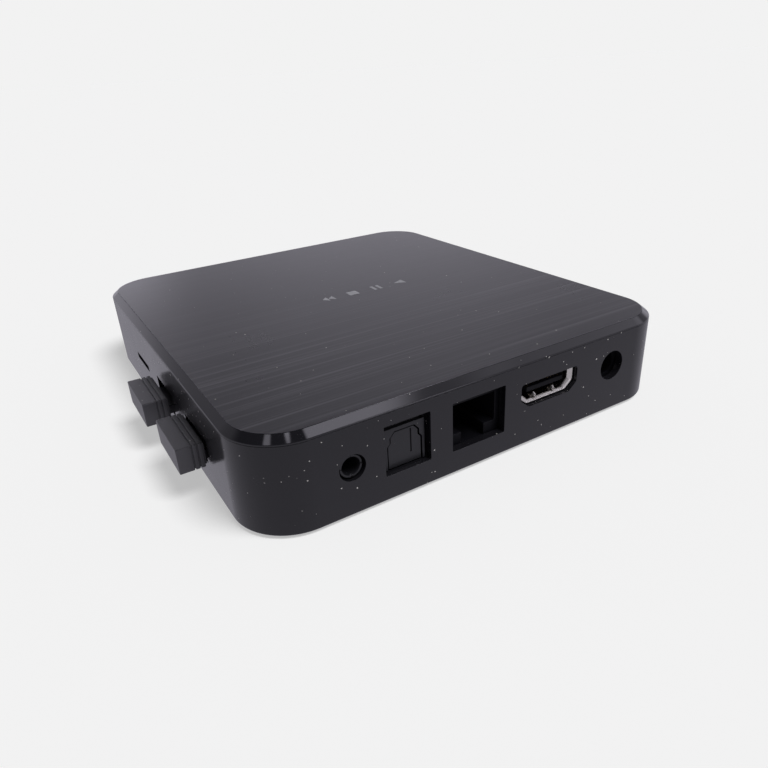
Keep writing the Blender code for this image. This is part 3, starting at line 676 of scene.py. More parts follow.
@dataclass(frozen=True)
class Finish:
    """Base of every finish: makes its material once and hands it out by name."""

    name: str
    colour: Colour

    def material(self) -> bpy.types.Material:
        """The finish's material.

        Returns:
            The material.
        """
        name = f"{self.name}_finish"
        found = bpy.data.materials.get(name)
        if found is not None:
            return found
        material = bpy.data.materials.new(name)
        material.use_nodes = True
        tree = NodeTree(material.node_tree)
        shader = material.node_tree.nodes["Principled BSDF"]
        place = tree.add("ShaderNodeTexCoord")
        self.dress(tree, shader, place.outputs["Object"])
        return material

    def dress(self, tree: NodeTree, shader: bpy.types.Node, vector: bpy.types.NodeSocket) -> None:
        """Link the finish's own nodes to the shader."""
        raise NotImplementedError

    @staticmethod
    def bump(tree: NodeTree, shader: bpy.types.Node, height: bpy.types.NodeSocket, depth: float,
             strength: float = 1.0) -> None:
        """Feed a height to the shader's normal; the depth is in millimetres.

        Args:
            tree: node helper of the material.
            shader: the material's Principled shader.
            height: height over the surface.
            depth: depth in millimetres.
            strength: bump strength.
        """
        node = tree.add("ShaderNodeBump", in_Distance=depth * MM, in_Strength=strength)
        tree.link(height, node.inputs["Height"])
        tree.link(node.outputs["Normal"], shader.inputs["Normal"])


@dataclass(frozen=True)
class MouldedPlastic(Finish):
    """Moulded plastic or rubber with grain, handling marks and settled dust."""

    roughness: float = 0.3
    spread: float = 0.06
    grain: float = 1800.0
    depth: float = 0.004
    dust: float = 0.12
    level: float = 0.5

    def dress(self, tree: NodeTree, shader: bpy.types.Node, vector: bpy.types.NodeSocket) -> None:
        """Colour under dust, drifting roughness and grain in the normal.

        Args:
            tree: node helper of the material.
            shader: the material's Principled shader.
            vector: coordinates that the pattern reads.
        """
        dust = use_group(tree, Groups.dust(), vector, Color=(*self.colour, 1.0), Amount=self.dust)
        smudge = use_group(tree, Groups.smudge(), vector, Roughness=self.roughness, Spread=self.spread)
        grain = use_group(tree, Groups.grain(), vector, Scale=self.grain)
        rough = tree.maths("ADD", smudge.outputs["Roughness"],
                           tree.maths("MULTIPLY", dust.outputs["Mask"], 0.4))
        tree.link(dust.outputs["Color"], shader.inputs["Base Color"])
        tree.link(rough, shader.inputs["Roughness"])
        shader.inputs["Specular IOR Level"].default_value = self.level
        self.bump(tree, shader, grain.outputs["Height"], self.depth)


@dataclass(frozen=True)
class HairlineLid(Finish):
    """Lid plastic: hairline grain on the flat top, a polished bevel all round it, and lighter painted glint
    streaks along the hairlines, stronger towards the rear.
    """

    # painted highlight: lighter colour for the glints along the hairlines
    glint_streak: Colour = (0.048, 0.046, 0.053)
    roughness: float = 0.28
    polish: float = 0.07
    depth: float = 0.0015
    dust: float = 0.12
    flat_z: float = 21.88

    def dress(self, tree: NodeTree, shader: bpy.types.Node, vector: bpy.types.NodeSocket) -> None:
        """Mix the two finishes by height, because only the flat top is at full height.

        Args:
            tree: node helper of the material.
            shader: the material's Principled shader.
            vector: coordinates that the pattern reads.
        """
        parts = tree.add("ShaderNodeSeparateXYZ")
        tree.link(vector, parts.inputs[0])
        top = tree.remap(parts.outputs["Z"], (self.flat_z - 0.03) * MM, (self.flat_z - 0.004) * MM)
        lines = use_group(tree, Groups.hairline(), vector)
        # painted highlight: the lid colour turns lighter along the hairline streaks
        glint_streaks = tree.add("ShaderNodeMixRGB", in_Color1=(*self.colour, 1.0), in_Color2=(*self.glint_streak, 1.0))
        # the painted glints grow stronger towards the rear of the lid, by position in Y
        glint_toward_rear = tree.maths("MULTIPLY", top, tree.remap(parts.outputs["Y"], -30.0 * MM, 42.0 * MM, 0.22, 1.0))
        tree.link(tree.maths("MULTIPLY", lines.outputs["GlintStreak"], glint_toward_rear), glint_streaks.inputs["Fac"])
        dust = use_group(tree, Groups.dust(), vector, Amount=self.dust)
        tree.link(glint_streaks.outputs[0], dust.inputs["Color"])
        tree.link(dust.outputs["Color"], shader.inputs["Base Color"])
        smudge = use_group(tree, Groups.smudge(), vector, Roughness=self.roughness, Spread=0.02)
        rough = tree.add("ShaderNodeMix", data_type="FLOAT")
        tree.link(top, rough.inputs["Factor"])
        rough.inputs["A"].default_value = self.polish
        tree.link(smudge.outputs["Roughness"], rough.inputs["B"])
        dusty = tree.maths("MULTIPLY", dust.outputs["Mask"], 0.4)
        tree.link(tree.maths("ADD", rough.outputs["Result"], dusty), shader.inputs["Roughness"])
        self.bump(tree, shader, tree.maths("MULTIPLY", lines.outputs["Height"], top), self.depth)


@dataclass(frozen=True)
class PlatedMetal(Finish):
    """Plated or drawn metal with rolling marks and a little tarnish in its roughness."""

    roughness: float = 0.28
    depth: float = 0.003
    tarnish: Colour = (0.30, 0.27, 0.22)

    def dress(self, tree: NodeTree, shader: bpy.types.Node, vector: bpy.types.NodeSocket) -> None:
        """Metal with a tarnished colour drift, drawn roughness and fine lines.

        Args:
            tree: node helper of the material.
            shader: the material's Principled shader.
            vector: coordinates that the pattern reads.
        """
        drawn = use_group(tree, Groups.drawn(), vector, Roughness=self.roughness)
        spots = tree.remap(tree.noise(vector, 260.0, 4.0), 0.55, 0.8, 0.0, 0.35)
        mix = tree.add("ShaderNodeMixRGB", in_Color1=(*self.colour, 1.0), in_Color2=(*self.tarnish, 1.0))
        tree.link(spots, mix.inputs["Fac"])
        tree.link(mix.outputs[0], shader.inputs["Base Color"])
        tree.link(drawn.outputs["Roughness"], shader.inputs["Roughness"])
        shader.inputs["Metallic"].default_value = 1.0
        self.bump(tree, shader, drawn.outputs["Height"], self.depth)


@dataclass(frozen=True)
class SmokedWindow(Finish):
    """Polished dark window with a slight orange peel."""

    def dress(self, tree: NodeTree, shader: bpy.types.Node, vector: bpy.types.NodeSocket) -> None:
        """Dark polished surface with faint handling marks.

        Args:
            tree: node helper of the material.
            shader: the material's Principled shader.
            vector: coordinates that the pattern reads.
        """
        dust = use_group(tree, Groups.dust(), vector, Color=(*self.colour, 1.0), Amount=0.05)
        smudge = use_group(tree, Groups.smudge(), vector, Roughness=0.07, Spread=0.04)
        tree.link(dust.outputs["Color"], shader.inputs["Base Color"])
        tree.link(smudge.outputs["Roughness"], shader.inputs["Roughness"])
        self.bump(tree, shader, tree.noise(vector, 140.0, 1.0), 0.01)


@dataclass(frozen=True)
class BoardLaminate(Finish):
    """Circuit board: green mask over copper tracks, with bare pads and a woven ground."""

    def dress(self, tree: NodeTree, shader: bpy.types.Node, vector: bpy.types.NodeSocket) -> None:
        """Tracks are the thin gaps between square cells; pads are the middles of a few cells.

        Args:
            tree: node helper of the material.
            shader: the material's Principled shader.
            vector: coordinates that the pattern reads.
        """
        cells = tree.add("ShaderNodeTexVoronoi", in_Scale=260.0, distance="CHEBYCHEV", in_Randomness=0.8)
        edges = tree.add("ShaderNodeTexVoronoi", in_Scale=330.0, feature="DISTANCE_TO_EDGE",
                         in_Randomness=0.75)
        tree.link(vector, cells.inputs["Vector"])
        tree.link(vector, edges.inputs["Vector"])
        track = tree.remap(edges.outputs["Distance"], 0.03, 0.05, 1.0, 0.0)
        pad = tree.remap(cells.outputs["Distance"], 0.12, 0.14, 1.0, 0.0)
        tone = tree.add("ShaderNodeMixRGB", in_Color1=(*self.colour, 1.0), in_Color2=(0.02, 0.17, 0.06, 1.0))
        tree.link(track, tone.inputs["Fac"])
        bare = tree.add("ShaderNodeMixRGB", in_Color2=(0.55, 0.52, 0.45, 1.0))
        tree.link(pad, bare.inputs["Fac"])
        tree.link(tone.outputs[0], bare.inputs["Color1"])
        tree.link(bare.outputs[0], shader.inputs["Base Color"])
        tree.link(tree.maths("MULTIPLY", pad, 0.8), shader.inputs["Metallic"])
        smudge = use_group(tree, Groups.smudge(), vector, Roughness=0.32, Spread=0.05)
        tree.link(smudge.outputs["Roughness"], shader.inputs["Roughness"])
        self.bump(tree, shader, tree.maths("ADD", track, pad), 0.03)


@dataclass(frozen=True)
class ClearEpoxy(Finish):
    """Cast epoxy lamp body, cloudy towards its middle."""

    def dress(self, tree: NodeTree, shader: bpy.types.Node, vector: bpy.types.NodeSocket) -> None:
        """Bluish epoxy with a milky drift.

        Args:
            tree: node helper of the material.
            shader: the material's Principled shader.
            vector: coordinates that the pattern reads.
        """
        mix = tree.add("ShaderNodeMixRGB", in_Color1=(*self.colour, 1.0), in_Color2=(0.8, 0.84, 0.95, 1.0))
        tree.link(tree.noise(vector, 500.0, 2.0), mix.inputs["Fac"])
        tree.link(mix.outputs[0], shader.inputs["Base Color"])
        smudge = use_group(tree, Groups.smudge(), vector, Roughness=0.12, Spread=0.05)
        tree.link(smudge.outputs["Roughness"], shader.inputs["Roughness"])
        shader.inputs["Transmission Weight"].default_value = 0.5


CASE = MouldedPlastic("case_plastic", (0.0078, 0.0075, 0.0095), 0.22, 0.05, 1500.0, 0.0030, 0.45)
LID = HairlineLid("cover_plastic", (0.0085, 0.0082, 0.0105))
SOCKET = MouldedPlastic("socket_plastic", (0.0090, 0.0090, 0.0110), 0.36, 0.06, 2600.0, 0.003, 0.04)
# near-black plastic for the parts deep in the socket openings, darker than the case: partly their own black,
# partly painted shade of the recesses
SHADED_DARK = MouldedPlastic("cavity_plastic_painted_shade", (0.0045, 0.0045, 0.0060), 0.50, 0.06, 2600.0, 0.003, 0.0, 0.15)
DOOR = MouldedPlastic("door_plastic", (0.0100, 0.0100, 0.0120), 0.30, 0.05, 2600.0, 0.003, 0.06)
PLUG = MouldedPlastic("plug_rubber", (0.0340, 0.0330, 0.0375), 0.40, 0.08, 1300.0, 0.005, 0.22, 0.85)
FOOT = MouldedPlastic("rubber", (0.0180, 0.0180, 0.0190), 0.80, 0.08, 1100.0, 0.02, 0.25)
BUTTON = MouldedPlastic("button_plastic", (0.02, 0.02, 0.02), 0.45, 0.06, 2400.0, 0.004, 0.0)
STEEL = PlatedMetal("plated_steel", (0.40, 0.39, 0.37), 0.30)
SHEET = PlatedMetal("bright_sheet", (0.62, 0.60, 0.56), 0.22)
ZINC = PlatedMetal("zinc_screw", (0.50, 0.50, 0.48), 0.36)
GOLD = PlatedMetal("gold_contact", (0.90, 0.66, 0.30), 0.20, 0.001, (0.45, 0.30, 0.12))
ALUMINIUM = PlatedMetal("plain_aluminium", (0.74, 0.75, 0.77), 0.40, 0.006)
WINDOW = SmokedWindow("smoked_window", (0.012, 0.006, 0.008))
BOARD = BoardLaminate("board_laminate", (0.008, 0.075, 0.030))
CHIP = MouldedPlastic("moulded_epoxy", (0.022, 0.022, 0.023), 0.55, 0.06, 3200.0, 0.006, 0.10)
PAD = MouldedPlastic("thermal_pad", (0.42, 0.45, 0.50), 0.80, 0.06, 2400.0, 0.02, 0.0)
FERRITE = MouldedPlastic("ferrite", (0.070, 0.070, 0.075), 0.60, 0.08, 1800.0, 0.02, 0.05)
AERIAL = MouldedPlastic("aerial_film", (0.45, 0.30, 0.06), 0.45, 0.06, 1400.0, 0.004, 0.0)
CABLE = MouldedPlastic("coax_jacket", (0.08, 0.08, 0.08), 0.50, 0.06, 2200.0, 0.004, 0.0)
LAMP = ClearEpoxy("lamp_epoxy", (0.55, 0.60, 0.75))
INK = MouldedPlastic("printed_mark", (0.26, 0.26, 0.28), 0.45, 0.05, 2600.0, 0.002, 0.0)


# --- Pieces ------------------------------------------------------------------------


@dataclass
class Workshop:
    """Turns meshes into pieces that ride on the frame, and dresses CAD nodes.

    Attributes:
        nodes: CAD nodes of the frame by name.
        dressed: names of the CAD nodes that are done, replaced or dressed.
    """

    nodes: dict[str, bpy.types.Object]
    dressed: set[str] = field(default_factory=set)

    def piece(self, name: str, mesh: bpy.types.Mesh, finish: Finish, soft: Softening = NONE,
              body: str = PLAYER, replaces: Sequence[str] = ()) -> bpy.types.Object:
        """Finish a mesh as a named piece.

        Args:
            name: piece name.
            mesh: mesh in the frame's own place, in metres.
            finish: the finish it wears.
            soft: how its sharp edges are rounded.
            body: CAD body that it rides on.
            replaces: CAD nodes that it stands for.

        Returns:
            The new object.
        """
        final = softened(mesh, soft)
        final.name = name
        final.materials.clear()
        final.materials.append(finish.material())
        item = bpy.data.objects.new(name, final)
        bpy.context.scene.collection.objects.link(item)
        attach(item, body)
        if replaces:
            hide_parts(*replaces)
            self.dressed.update(replaces)
        log.info("piece %s: %d faces on %s", name, len(final.polygons), body)
        return item

    def refined(self, node: str, finish: Finish, soft: Softening = Softening(),
                body: str = PLAYER) -> bpy.types.Object:
        """Stand a rounded copy of a CAD node in for it.

        The copy's loose triangles are merged, and flat neighbours dissolved, before
        its edges are rounded.

        Args:
            node: CAD node's name.
            finish: the finish it wears.
            soft: how its sharp edges are rounded.
            body: CAD body that it rides on.

        Returns:
            The new object.
        """
        bm = bmesh.new()
        bm.from_mesh(self.nodes[node].data)
        bmesh.ops.remove_doubles(bm, verts=bm.verts, dist=MERGE_DISTANCE)
        bmesh.ops.dissolve_limit(bm, angle_limit=FLAT_ANGLE, verts=bm.verts, edges=bm.edges)
        mesh = bpy.data.meshes.new(node)
        bm.to_mesh(mesh)
        bm.free()
        return self.piece(f"{node}_look", mesh, finish, soft, body, [node])

    def dress(self, node: str, finish: Finish) -> None:
        """Give a CAD node that stays in view its material.

        Args:
            node: CAD node's name.
            finish: the finish it wears.
        """
        item = self.nodes[node]
        if not item.material_slots:
            item.data.materials.append(finish.material())
        for slot in item.material_slots:
            slot.material = finish.material()
        self.dressed.add(node)
        log.info("dressed %s in %s", node, finish.name)


@dataclass(frozen=True)
class CaseFrame:
    """Places of the case, read from the frame, in millimetres."""

    x: float
    half_x: float
    half_y: float
    base_z: float
    cover_low: float
    top_z: float

    @staticmethod
    def read() -> "CaseFrame":
        """Measure the housing and the cover.

        Returns:
            The case's places.
        """
        low, high = (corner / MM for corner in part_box("base_housing"))
        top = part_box("top_cover")[1].z / MM
        return CaseFrame((low.x + high.x) / 2, (high.x - low.x) / 2, (high.y - low.y) / 2, low.z,
                         top - TopCover.drop - TopCover.land, top)

    def rear(self, centre: tuple[float, float]) -> tuple[float, float, float]:
        """Point on the rear wall's outer face."""
        return (self.x + centre[0], self.half_y, centre[1])

    def side(self, centre: tuple[float, float]) -> tuple[float, float, float]:
        """Point on the outer face of the side with the data ports."""
        return (self.x + self.half_x, centre[0], centre[1])


@dataclass
class Sockets:
    """Socket openings: rear centres are (x, z) from the case's middle, side ones (y, z)."""

    power: tuple[float, float] = (-35.1, 12.4)
    power_radius: float = 3.6
    video: tuple[float, float] = (-15.3, 12.87)
    lan: tuple[float, float] = (4.5, 11.54)
    lan_half: tuple[float, float] = (6.9, 5.6)
    optical: tuple[float, float] = (22.2, 11.85)
    optical_half: tuple[float, float] = (5.35, 5.55)
    audio: tuple[float, float] = (34.7, 11.25)
    audio_radius: float = 2.85
    ports: tuple[tuple[float, float], ...] = ((27.9, 9.5), (3.6, 9.5))
    port_half: tuple[float, float] = (6.8, 2.8)
    card: tuple[float, float] = (-18.9, 10.4)
    card_half: tuple[float, float] = (6.3, 0.8)
    window_z: float = 11.2
    window_half: tuple[float, float] = (12.0, 4.0)


@dataclass
class HousingShell:
    """Lower housing: a swept tub with every opening cut through it."""

    case: CaseFrame
    sockets: Sockets
    wall: float = 2.0
    corner: float = 12.5
    edge: float = 0.5
    rim: float = 0.06
    seam: float = 0.05
    floor: float = 2.0
    slit: float = 1.0
    screw_x: float = 46.0
    screw_y: float = 51.0

    def outline(self) -> Outline:
        """Outer outline of the walls."""
        return Outline.rectangle(self.case.half_x, self.case.half_y, self.corner, 20, (self.case.x, 0.0))

    def tub(self) -> bpy.types.Mesh:
        """Walls and floor, carried round the outline from the underside over the rim to the inner floor.

        Returns:
            Mesh in metres.
        """
        base, top = self.case.base_z, self.case.cover_low - self.seam
        profile = rounded_profile(
            [(-3.0, base), (0.0, base), (0.0, top), (-self.wall, top), (-self.wall, base + self.floor),
             (-3.5, base + self.floor)],
            [0.0, self.edge, self.rim, self.rim, 0.3, 0.0], 4)
        return sweep(self.outline(), profile, Axis.Z)

    def wall_cut(self, outline: Outline, axis: Axis, outwards: float) -> bpy.types.Mesh:
        """Cutter through one wall; outwards is +1 or -1 along the axis.

        Args:
            outline: outline of the opening.
            axis: axis through the wall.
            outwards: +1 or -1 along the axis.

        Returns:
            Mesh in metres.
        """
        face = outwards * (self.case.half_y if axis is Axis.Y else self.case.half_x)
        offset = self.case.x if axis is Axis.X else 0.0
        ends = sorted((offset + face - outwards * (self.wall + 1.0), offset + face + outwards))
        return sweep(outline, [(0.0, end) for end in ends], axis)

    def openings(self) -> list[bpy.types.Mesh]:
        """Cutters for all the sockets, the card slot and the front window.

        Returns:
            The cutters.
        """
        s, x = self.sockets, self.case.x

        def rear(half: tuple[float, float], centre: tuple[float, float], radius: float = 0.25) -> Outline:
            return Outline.rectangle(half[0], half[1], radius, 3, (x + centre[0], centre[1]))

        video = VideoSocket(self.case, s).mouth()
        moved = tuple((x + s.video[0] + u, s.video[1] + v) for u, v in video.corners)
        cuts = [
            self.wall_cut(Outline.circle(s.power_radius, 16, (x + s.power[0], s.power[1])), Axis.Y, 1),
            self.wall_cut(Outline.circle(s.audio_radius, 16, (x + s.audio[0], s.audio[1])), Axis.Y, 1),
            self.wall_cut(rear(s.lan_half, s.lan), Axis.Y, 1),
            self.wall_cut(rear(s.optical_half, s.optical), Axis.Y, 1),
            sweep(Outline(moved, video.radii, 4),
                  [(0.26, self.case.half_y - 3.0), (0.26, self.case.half_y + 1.0)], Axis.Y),
            self.wall_cut(Outline.rectangle(*s.card_half, 0.3, 3, s.card), Axis.X, 1),
            self.wall_cut(Outline.rectangle(s.window_half[0] + 0.12, s.window_half[1] + 0.12, 2.1, 6,
                                            (x, s.window_z)), Axis.Y, -1),
        ]
        cuts += [self.wall_cut(Outline.rectangle(*s.port_half, 0.3, 3, centre), Axis.X, 1)
                 for centre in s.ports]
        return cuts

    def vents(self) -> list[bpy.types.Mesh]:
        """Cutters for two rows of long slots in the floor.

        Returns:
            The cutters.
        """
        base = self.case.base_z
        return [sweep(Outline.rectangle(self.slit, 13.0, self.slit - 0.01, 4, (self.case.x + x, y)),
                      [(0.0, base - 1.0), (0.0, base + self.floor + 1.0)], Axis.Z)
                for x in np.arange(-20.0, 20.1, 5.0) for y in (-16.0, 16.0)]

    def build(self, shop: Workshop) -> None:
        """Sweep the tub, add its posts and cut it.

        Args:
            shop: workshop that makes and dresses the pieces.
        """
        base = self.case.base_z
        posts, bores = [], []
        for sx in (-1, 1):
            for sy in (-1, 1):
                at = (self.case.x + sx * self.screw_x, sy * self.screw_y)
                posts.append(sweep(Outline.circle(3.4, 8, at), [(0.0, base + 1.5), (0.0, 8.6)], Axis.Z))
                bores.append(sweep(Outline.circle(5.2, 12, at), [(0.0, base - 1), (0.0, base + 0.8)], Axis.Z))
                bores.append(sweep(Outline.circle(2.7, 8, at), [(0.0, base), (0.0, 5.2)], Axis.Z))
                bores.append(sweep(Outline.circle(1.5, 6, at), [(0.0, 5.0), (0.0, 9.6)], Axis.Z))
        tub = carved(self.tub(), posts, self.openings() + self.vents() + bores)
        shop.piece("housing_shell", tub, CASE, Softening(0.13, 2, 50.0),
                   replaces=["base_housing"])


@dataclass
class TopCover:
    """Lid: a hairline top inside a polished bevel, with a locating lip and screw bosses."""

    case: CaseFrame
    corner: float = 12.5
    run: float = 1.75
    drop: float = 1.4
    land: float = 0.3
    low_edge: float = 0.32
    high_edge: float = 0.30
    lip: float = 1.8
    wall: float = 2.0

    def skin(self) -> bpy.types.Mesh:
        """Whole lid as one profile carried round, from inside the lip, under it and over the bevel.

        Returns:
            Mesh in metres.
        """
        low, top = self.case.cover_low, self.case.top_z - PrintedMark.ink
        inner = -(self.wall + 1.5)
        outer = -(self.wall + 0.3)
        profile = rounded_profile(
            [(inner - 0.5, low), (inner, low), (inner, low - self.lip), (outer, low - self.lip), (outer, low),
             (0.0, low), (0.0, low + self.land), (-self.run, top), (-self.run - 1.0, top)],
            [0.0, 0.0, 0.2, 0.2, 0.0, 0.06, self.low_edge, self.high_edge, 0.0], 5)
        outline = Outline.rectangle(self.case.half_x, self.case.half_y, self.corner, 24, (self.case.x, 0.0))
        return sweep(outline, profile, Axis.Z)

    def build(self, shop: Workshop) -> None:
        """Sweep the lid and join its screw bosses.

        Args:
            shop: workshop that makes and dresses the pieces.
        """
        bosses, pilots = [], []
        for sx in (-1, 1):
            for sy in (-1, 1):
                at = (self.case.x + sx * HousingShell.screw_x, sy * HousingShell.screw_y)
                boss_path = [(0.0, 8.9), (0.0, self.case.cover_low + 0.5)]
                bosses.append(sweep(Outline.circle(3.2, 8, at), boss_path, Axis.Z))
                pilots.append(sweep(Outline.circle(1.3, 6, at), [(0.0, 7.9), (0.0, 17.5)], Axis.Z))
        lid = carved(self.skin(), bosses, pilots)
        shop.piece("cover_lid", lid, LID, replaces=["top_cover"])


@dataclass
class PrintedMark:
    """Row of plain media symbols printed on the lid, upright when seen from the front."""

    case: CaseFrame
    centre: tuple[float, float] = (-4.4, -1.6)
    height: float = 3.3
    pitch: float = 7.6
    ink: float = 0.02

    def symbols(self) -> list[Outline]:
        """Play, pause, stop and skip, centred on zero.

        Returns:
            The outlines, in order.
        """
        h = self.height / 2
        first = -1.5 * self.pitch
        play = [(first - h, -h), (first + h, 0.0), (first - h, h)]
        stop_at = first + 2 * self.pitch
        skip_at = first + 3 * self.pitch
        skip = [[(skip_at + shift - h / 2, -h), (skip_at + shift + h / 2, 0.0), (skip_at + shift - h / 2, h)]
                for shift in (-h / 2 - 0.1, h / 2 + 0.1)]
        bars = [Outline.rectangle(0.45, h, 0.1, 2, (first + self.pitch + shift, 0.0))
                for shift in (-0.9, 0.9)]
        triangles = [Outline(tuple(corners), (0.12,) * 3, 3) for corners in [play] + skip]
        return triangles + bars + [Outline.rectangle(h * 0.9, h * 0.9, 0.15, 2, (stop_at, 0.0))]

    def build(self, shop: Workshop) -> None:
        """Lay every symbol on the lid as a thin film of ink.

        Args:
            shop: workshop that makes and dresses the pieces.
        """
        top = self.case.top_z - self.ink
        origin = (self.case.x + self.centre[0], self.centre[1], 0.0)
        films = [sweep(shape, [(0.0, top - 0.01), (0.0, top + self.ink)], Axis.Z, origin)
                 for shape in self.symbols()]
        shop.piece("lid_mark", joined(films), INK)


@dataclass
class VideoSocket:
    """Video socket: folded steel shell with a flared mouth, grip springs, tongue and contacts."""

    case: CaseFrame
    sockets: Sockets
    half: float = 7.25
    half_height: float = 2.46
    foot_half: float = 5.2
    chamfer: float = 1.9
    sheet: float = 0.4
    depth: float = 12.0
    flare_depth: float = 0.8
    mouth_at: float = -1.1

    def outline(self) -> Outline:
        """Outer outline of the shell, with folded corners.

        Returns:
            The outline.
        """
        half = ((self.foot_half, -self.half_height), (self.half, -self.half_height + self.chamfer),
                (self.half, self.half_height))
        return Outline.symmetric(half, 0.5, 4)

    def mouth(self) -> Outline:
        """Outer outline of the flared mouth, wider at the sides and the bottom."""
        return Outline.symmetric(((5.9, -2.8), (8.05, -1.0), (8.05, 2.46)), 0.5, 4)

    def shell(self, origin: tuple[float, float, float]) -> bpy.types.Mesh:
        """Skin the shell's closed profile.

        Each ring is (1 - w) * plain outline + w * mouth outline. Here w is t squared,
        and t rises from 0 to 1 over the flare's depth, so the sheet curls outwards.

        Args:
            origin: the socket's middle, on the outer face of the wall.

        Returns:
            Mesh in metres.
        """
        plain, mouth = self.outline(), self.mouth()
        curl = np.linspace(0.0, 1.0, 7)
        lip = [(-0.01, self.mouth_at - self.flare_depth * (1 - t), t) for t in curl]
        inner = [(-self.sheet + (self.sheet - 0.16) * t, self.mouth_at + 0.05 - self.flare_depth * (1 - t), t)
                 for t in curl[::-1]]
        stations = [(0.0, -self.depth, 0.0)] + lip + inner + [(-self.sheet, -self.depth, 0.0),
                                                              (0.0, -self.depth, 0.0)]
        rings = []
        for grow, along, t in stations:
            share = t * t
            flat = (1 - share) * plain.ring(grow) + share * mouth.ring(grow)
            rings.append(np.stack([flat[:, 0], np.full(len(flat), along), flat[:, 1]], axis=1))
        return mesh_from_rings(np.array(rings) + np.array(origin), capped=False)

    def build(self, shop: Workshop) -> None:
        """Make the shell, its springs, the tongue and nineteen contacts.

        Args:
            shop: workshop that makes and dresses the pieces.
        """
        origin = self.case.rear(self.sockets.video)
        x, y, z = origin
        legs = [box_mesh((x + sx * 6.9 - 0.3, y + at - 0.75, 7.2),
                         (x + sx * 6.9 + 0.3, y + at + 0.75, z - 0.7))
                for sx in (-1, 1) for at in (-5.0, -10.0)]
        shop.piece("video_shell_look", joined([self.shell(origin)] + legs), SHEET,
                   replaces=["video_shell"])
        shop.refined("video_insulator", SHADED_DARK, Softening(0.12, 2))
        floor = z - self.half_height + self.sheet
        springs = []
        for shift, width in ((-2.75, 1.3), (2.85, 1.3)):
            run = np.linspace(0.0, 1.0, 31)
            rise = 0.08 + 0.90 * np.exp(-((run - 0.66) / 0.2) ** 2)
            along = y - 4.7 + 3.5 * run
            across = np.linspace(-width / 2, width / 2, 11)
            dome = 1.0 - 0.55 * (2 * across / width) ** 2
            top = floor + rise[:, None] * dome[None, :]
            grid = np.stack([x + shift + np.broadcast_to(across, top.shape),
                             np.broadcast_to(along[:, None], top.shape), top], axis=-1)
            under = grid - np.array([0.0, 0.0, 0.12])
            springs.append(mesh_from_rings(np.concatenate([grid, under[:, ::-1]], axis=1)))
        shop.piece("video_springs", joined(springs), SHEET)
        contacts = []
        for index in range(19):
            at = x + (index - 9) * 0.5
            level = z + (0.75 if index % 2 == 0 else -0.41)
            contacts.append(box_mesh((at - 0.14, y - 8.0, level), (at + 0.14, y - 2.4, level + 0.06)))
        shop.piece("video_contacts", joined(contacts), GOLD)


@dataclass
class RearSockets:
    """Network, optical, audio and power sockets."""

    case: CaseFrame
    sockets: Sockets

    def network(self, shop: Workshop) -> None:
        """Network socket body and its gold wires."""
        shop.refined("lan_housing", SHADED_DARK, Softening(0.18, 3))
        shop.refined("lan_contacts", GOLD, Softening(0.05, 2))

    def optical(self, shop: Workshop) -> None:
        """Optical socket body, door, pin, spring and light source.

        Args:
            shop: workshop that makes and dresses the pieces.
        """
        shop.refined("optical_housing", SOCKET, Softening(0.1, 2))
        shop.refined("optical_door", DOOR, Softening(0.1, 2), "optical_door")
        shop.refined("optical_door_pin", STEEL, FINE)
        shop.dress("optical_door_spring", STEEL)
        shop.refined("optical_emitter", CHIP, FINE)

    def audio(self, shop: Workshop) -> None:
        """Audio jack: moulded body with a turned sleeve, ring contact and the reset switch behind.

        Args:
            shop: workshop that makes and dresses the pieces.
        """
        x, y, z = self.case.rear(self.sockets.audio)
        front = y - 0.7
        sleeve = rounded_profile([(0.0, y - 3.0), (0.0, front), (-0.5, front), (-0.62, y - 1.2),
                                  (-0.62, y - 12.0), (-1.3, y - 12.0), (-1.3, y - 15.0)],
                                 [0.0, 0.16, 0.16, 0.1, 0.0, 0.0, 0.0], 5)
        bore = [(grow, along) for grow, along in sleeve[1:]]
        skin = sweep(Outline.circle(2.5, 14, (x, z)), sleeve[:1] + bore, Axis.Y, capped=False)
        body = carved(box_mesh((x - 3.3, y - 15.0, z - 2.9), (x + 3.3, y - 2.3, z + 3.0), 0.3), [],
                      [sweep(Outline.circle(2.0, 12, (x, z)), [(0.0, y - 16.0), (0.0, y)], Axis.Y)])
        shop.piece("audio_jack", joined([body, skin]), SOCKET, replaces=["av_socket"])
        ring = [(0.0, y - 9.4), (0.0, y - 8.4), (-0.16, y - 8.4), (-0.16, y - 9.4), (0.0, y - 9.4)]
        shop.piece("audio_ring_contact", sweep(Outline.circle(1.86, 12, (x, z)), ring, Axis.Y, capped=False),
                   STEEL)
        shop.refined("reset_switch", STEEL, FINE)
        shop.refined("reset_button", BUTTON, FINE, "reset_button")

    def power(self, shop: Workshop) -> None:
        """Barrel power socket, its side contact and its pin.

        Args:
            shop: workshop that makes and dresses the pieces.
        """
        shop.refined("power_socket", SHADED_DARK, Softening(0.15, 2))
        x, y, z = self.case.rear(self.sockets.power)
        profile = rounded_profile([(-0.99, y - 15.6), (0.0, y - 15.6), (0.0, y - 3.7), (-0.99, y - 3.7)],
                                  [0.0, 0.1, 0.7, 0.0], 6)
        shop.piece("power_pin_look", sweep(Outline.circle(1.0, 10, (x, z)), profile, Axis.Y), STEEL,
                   replaces=["power_pin"])

    def build(self, shop: Workshop) -> None:
        """Make all four.

        Args:
            shop: workshop that makes and dresses the pieces.
        """
        self.network(shop)
        self.optical(shop)
        self.audio(shop)
        self.power(shop)


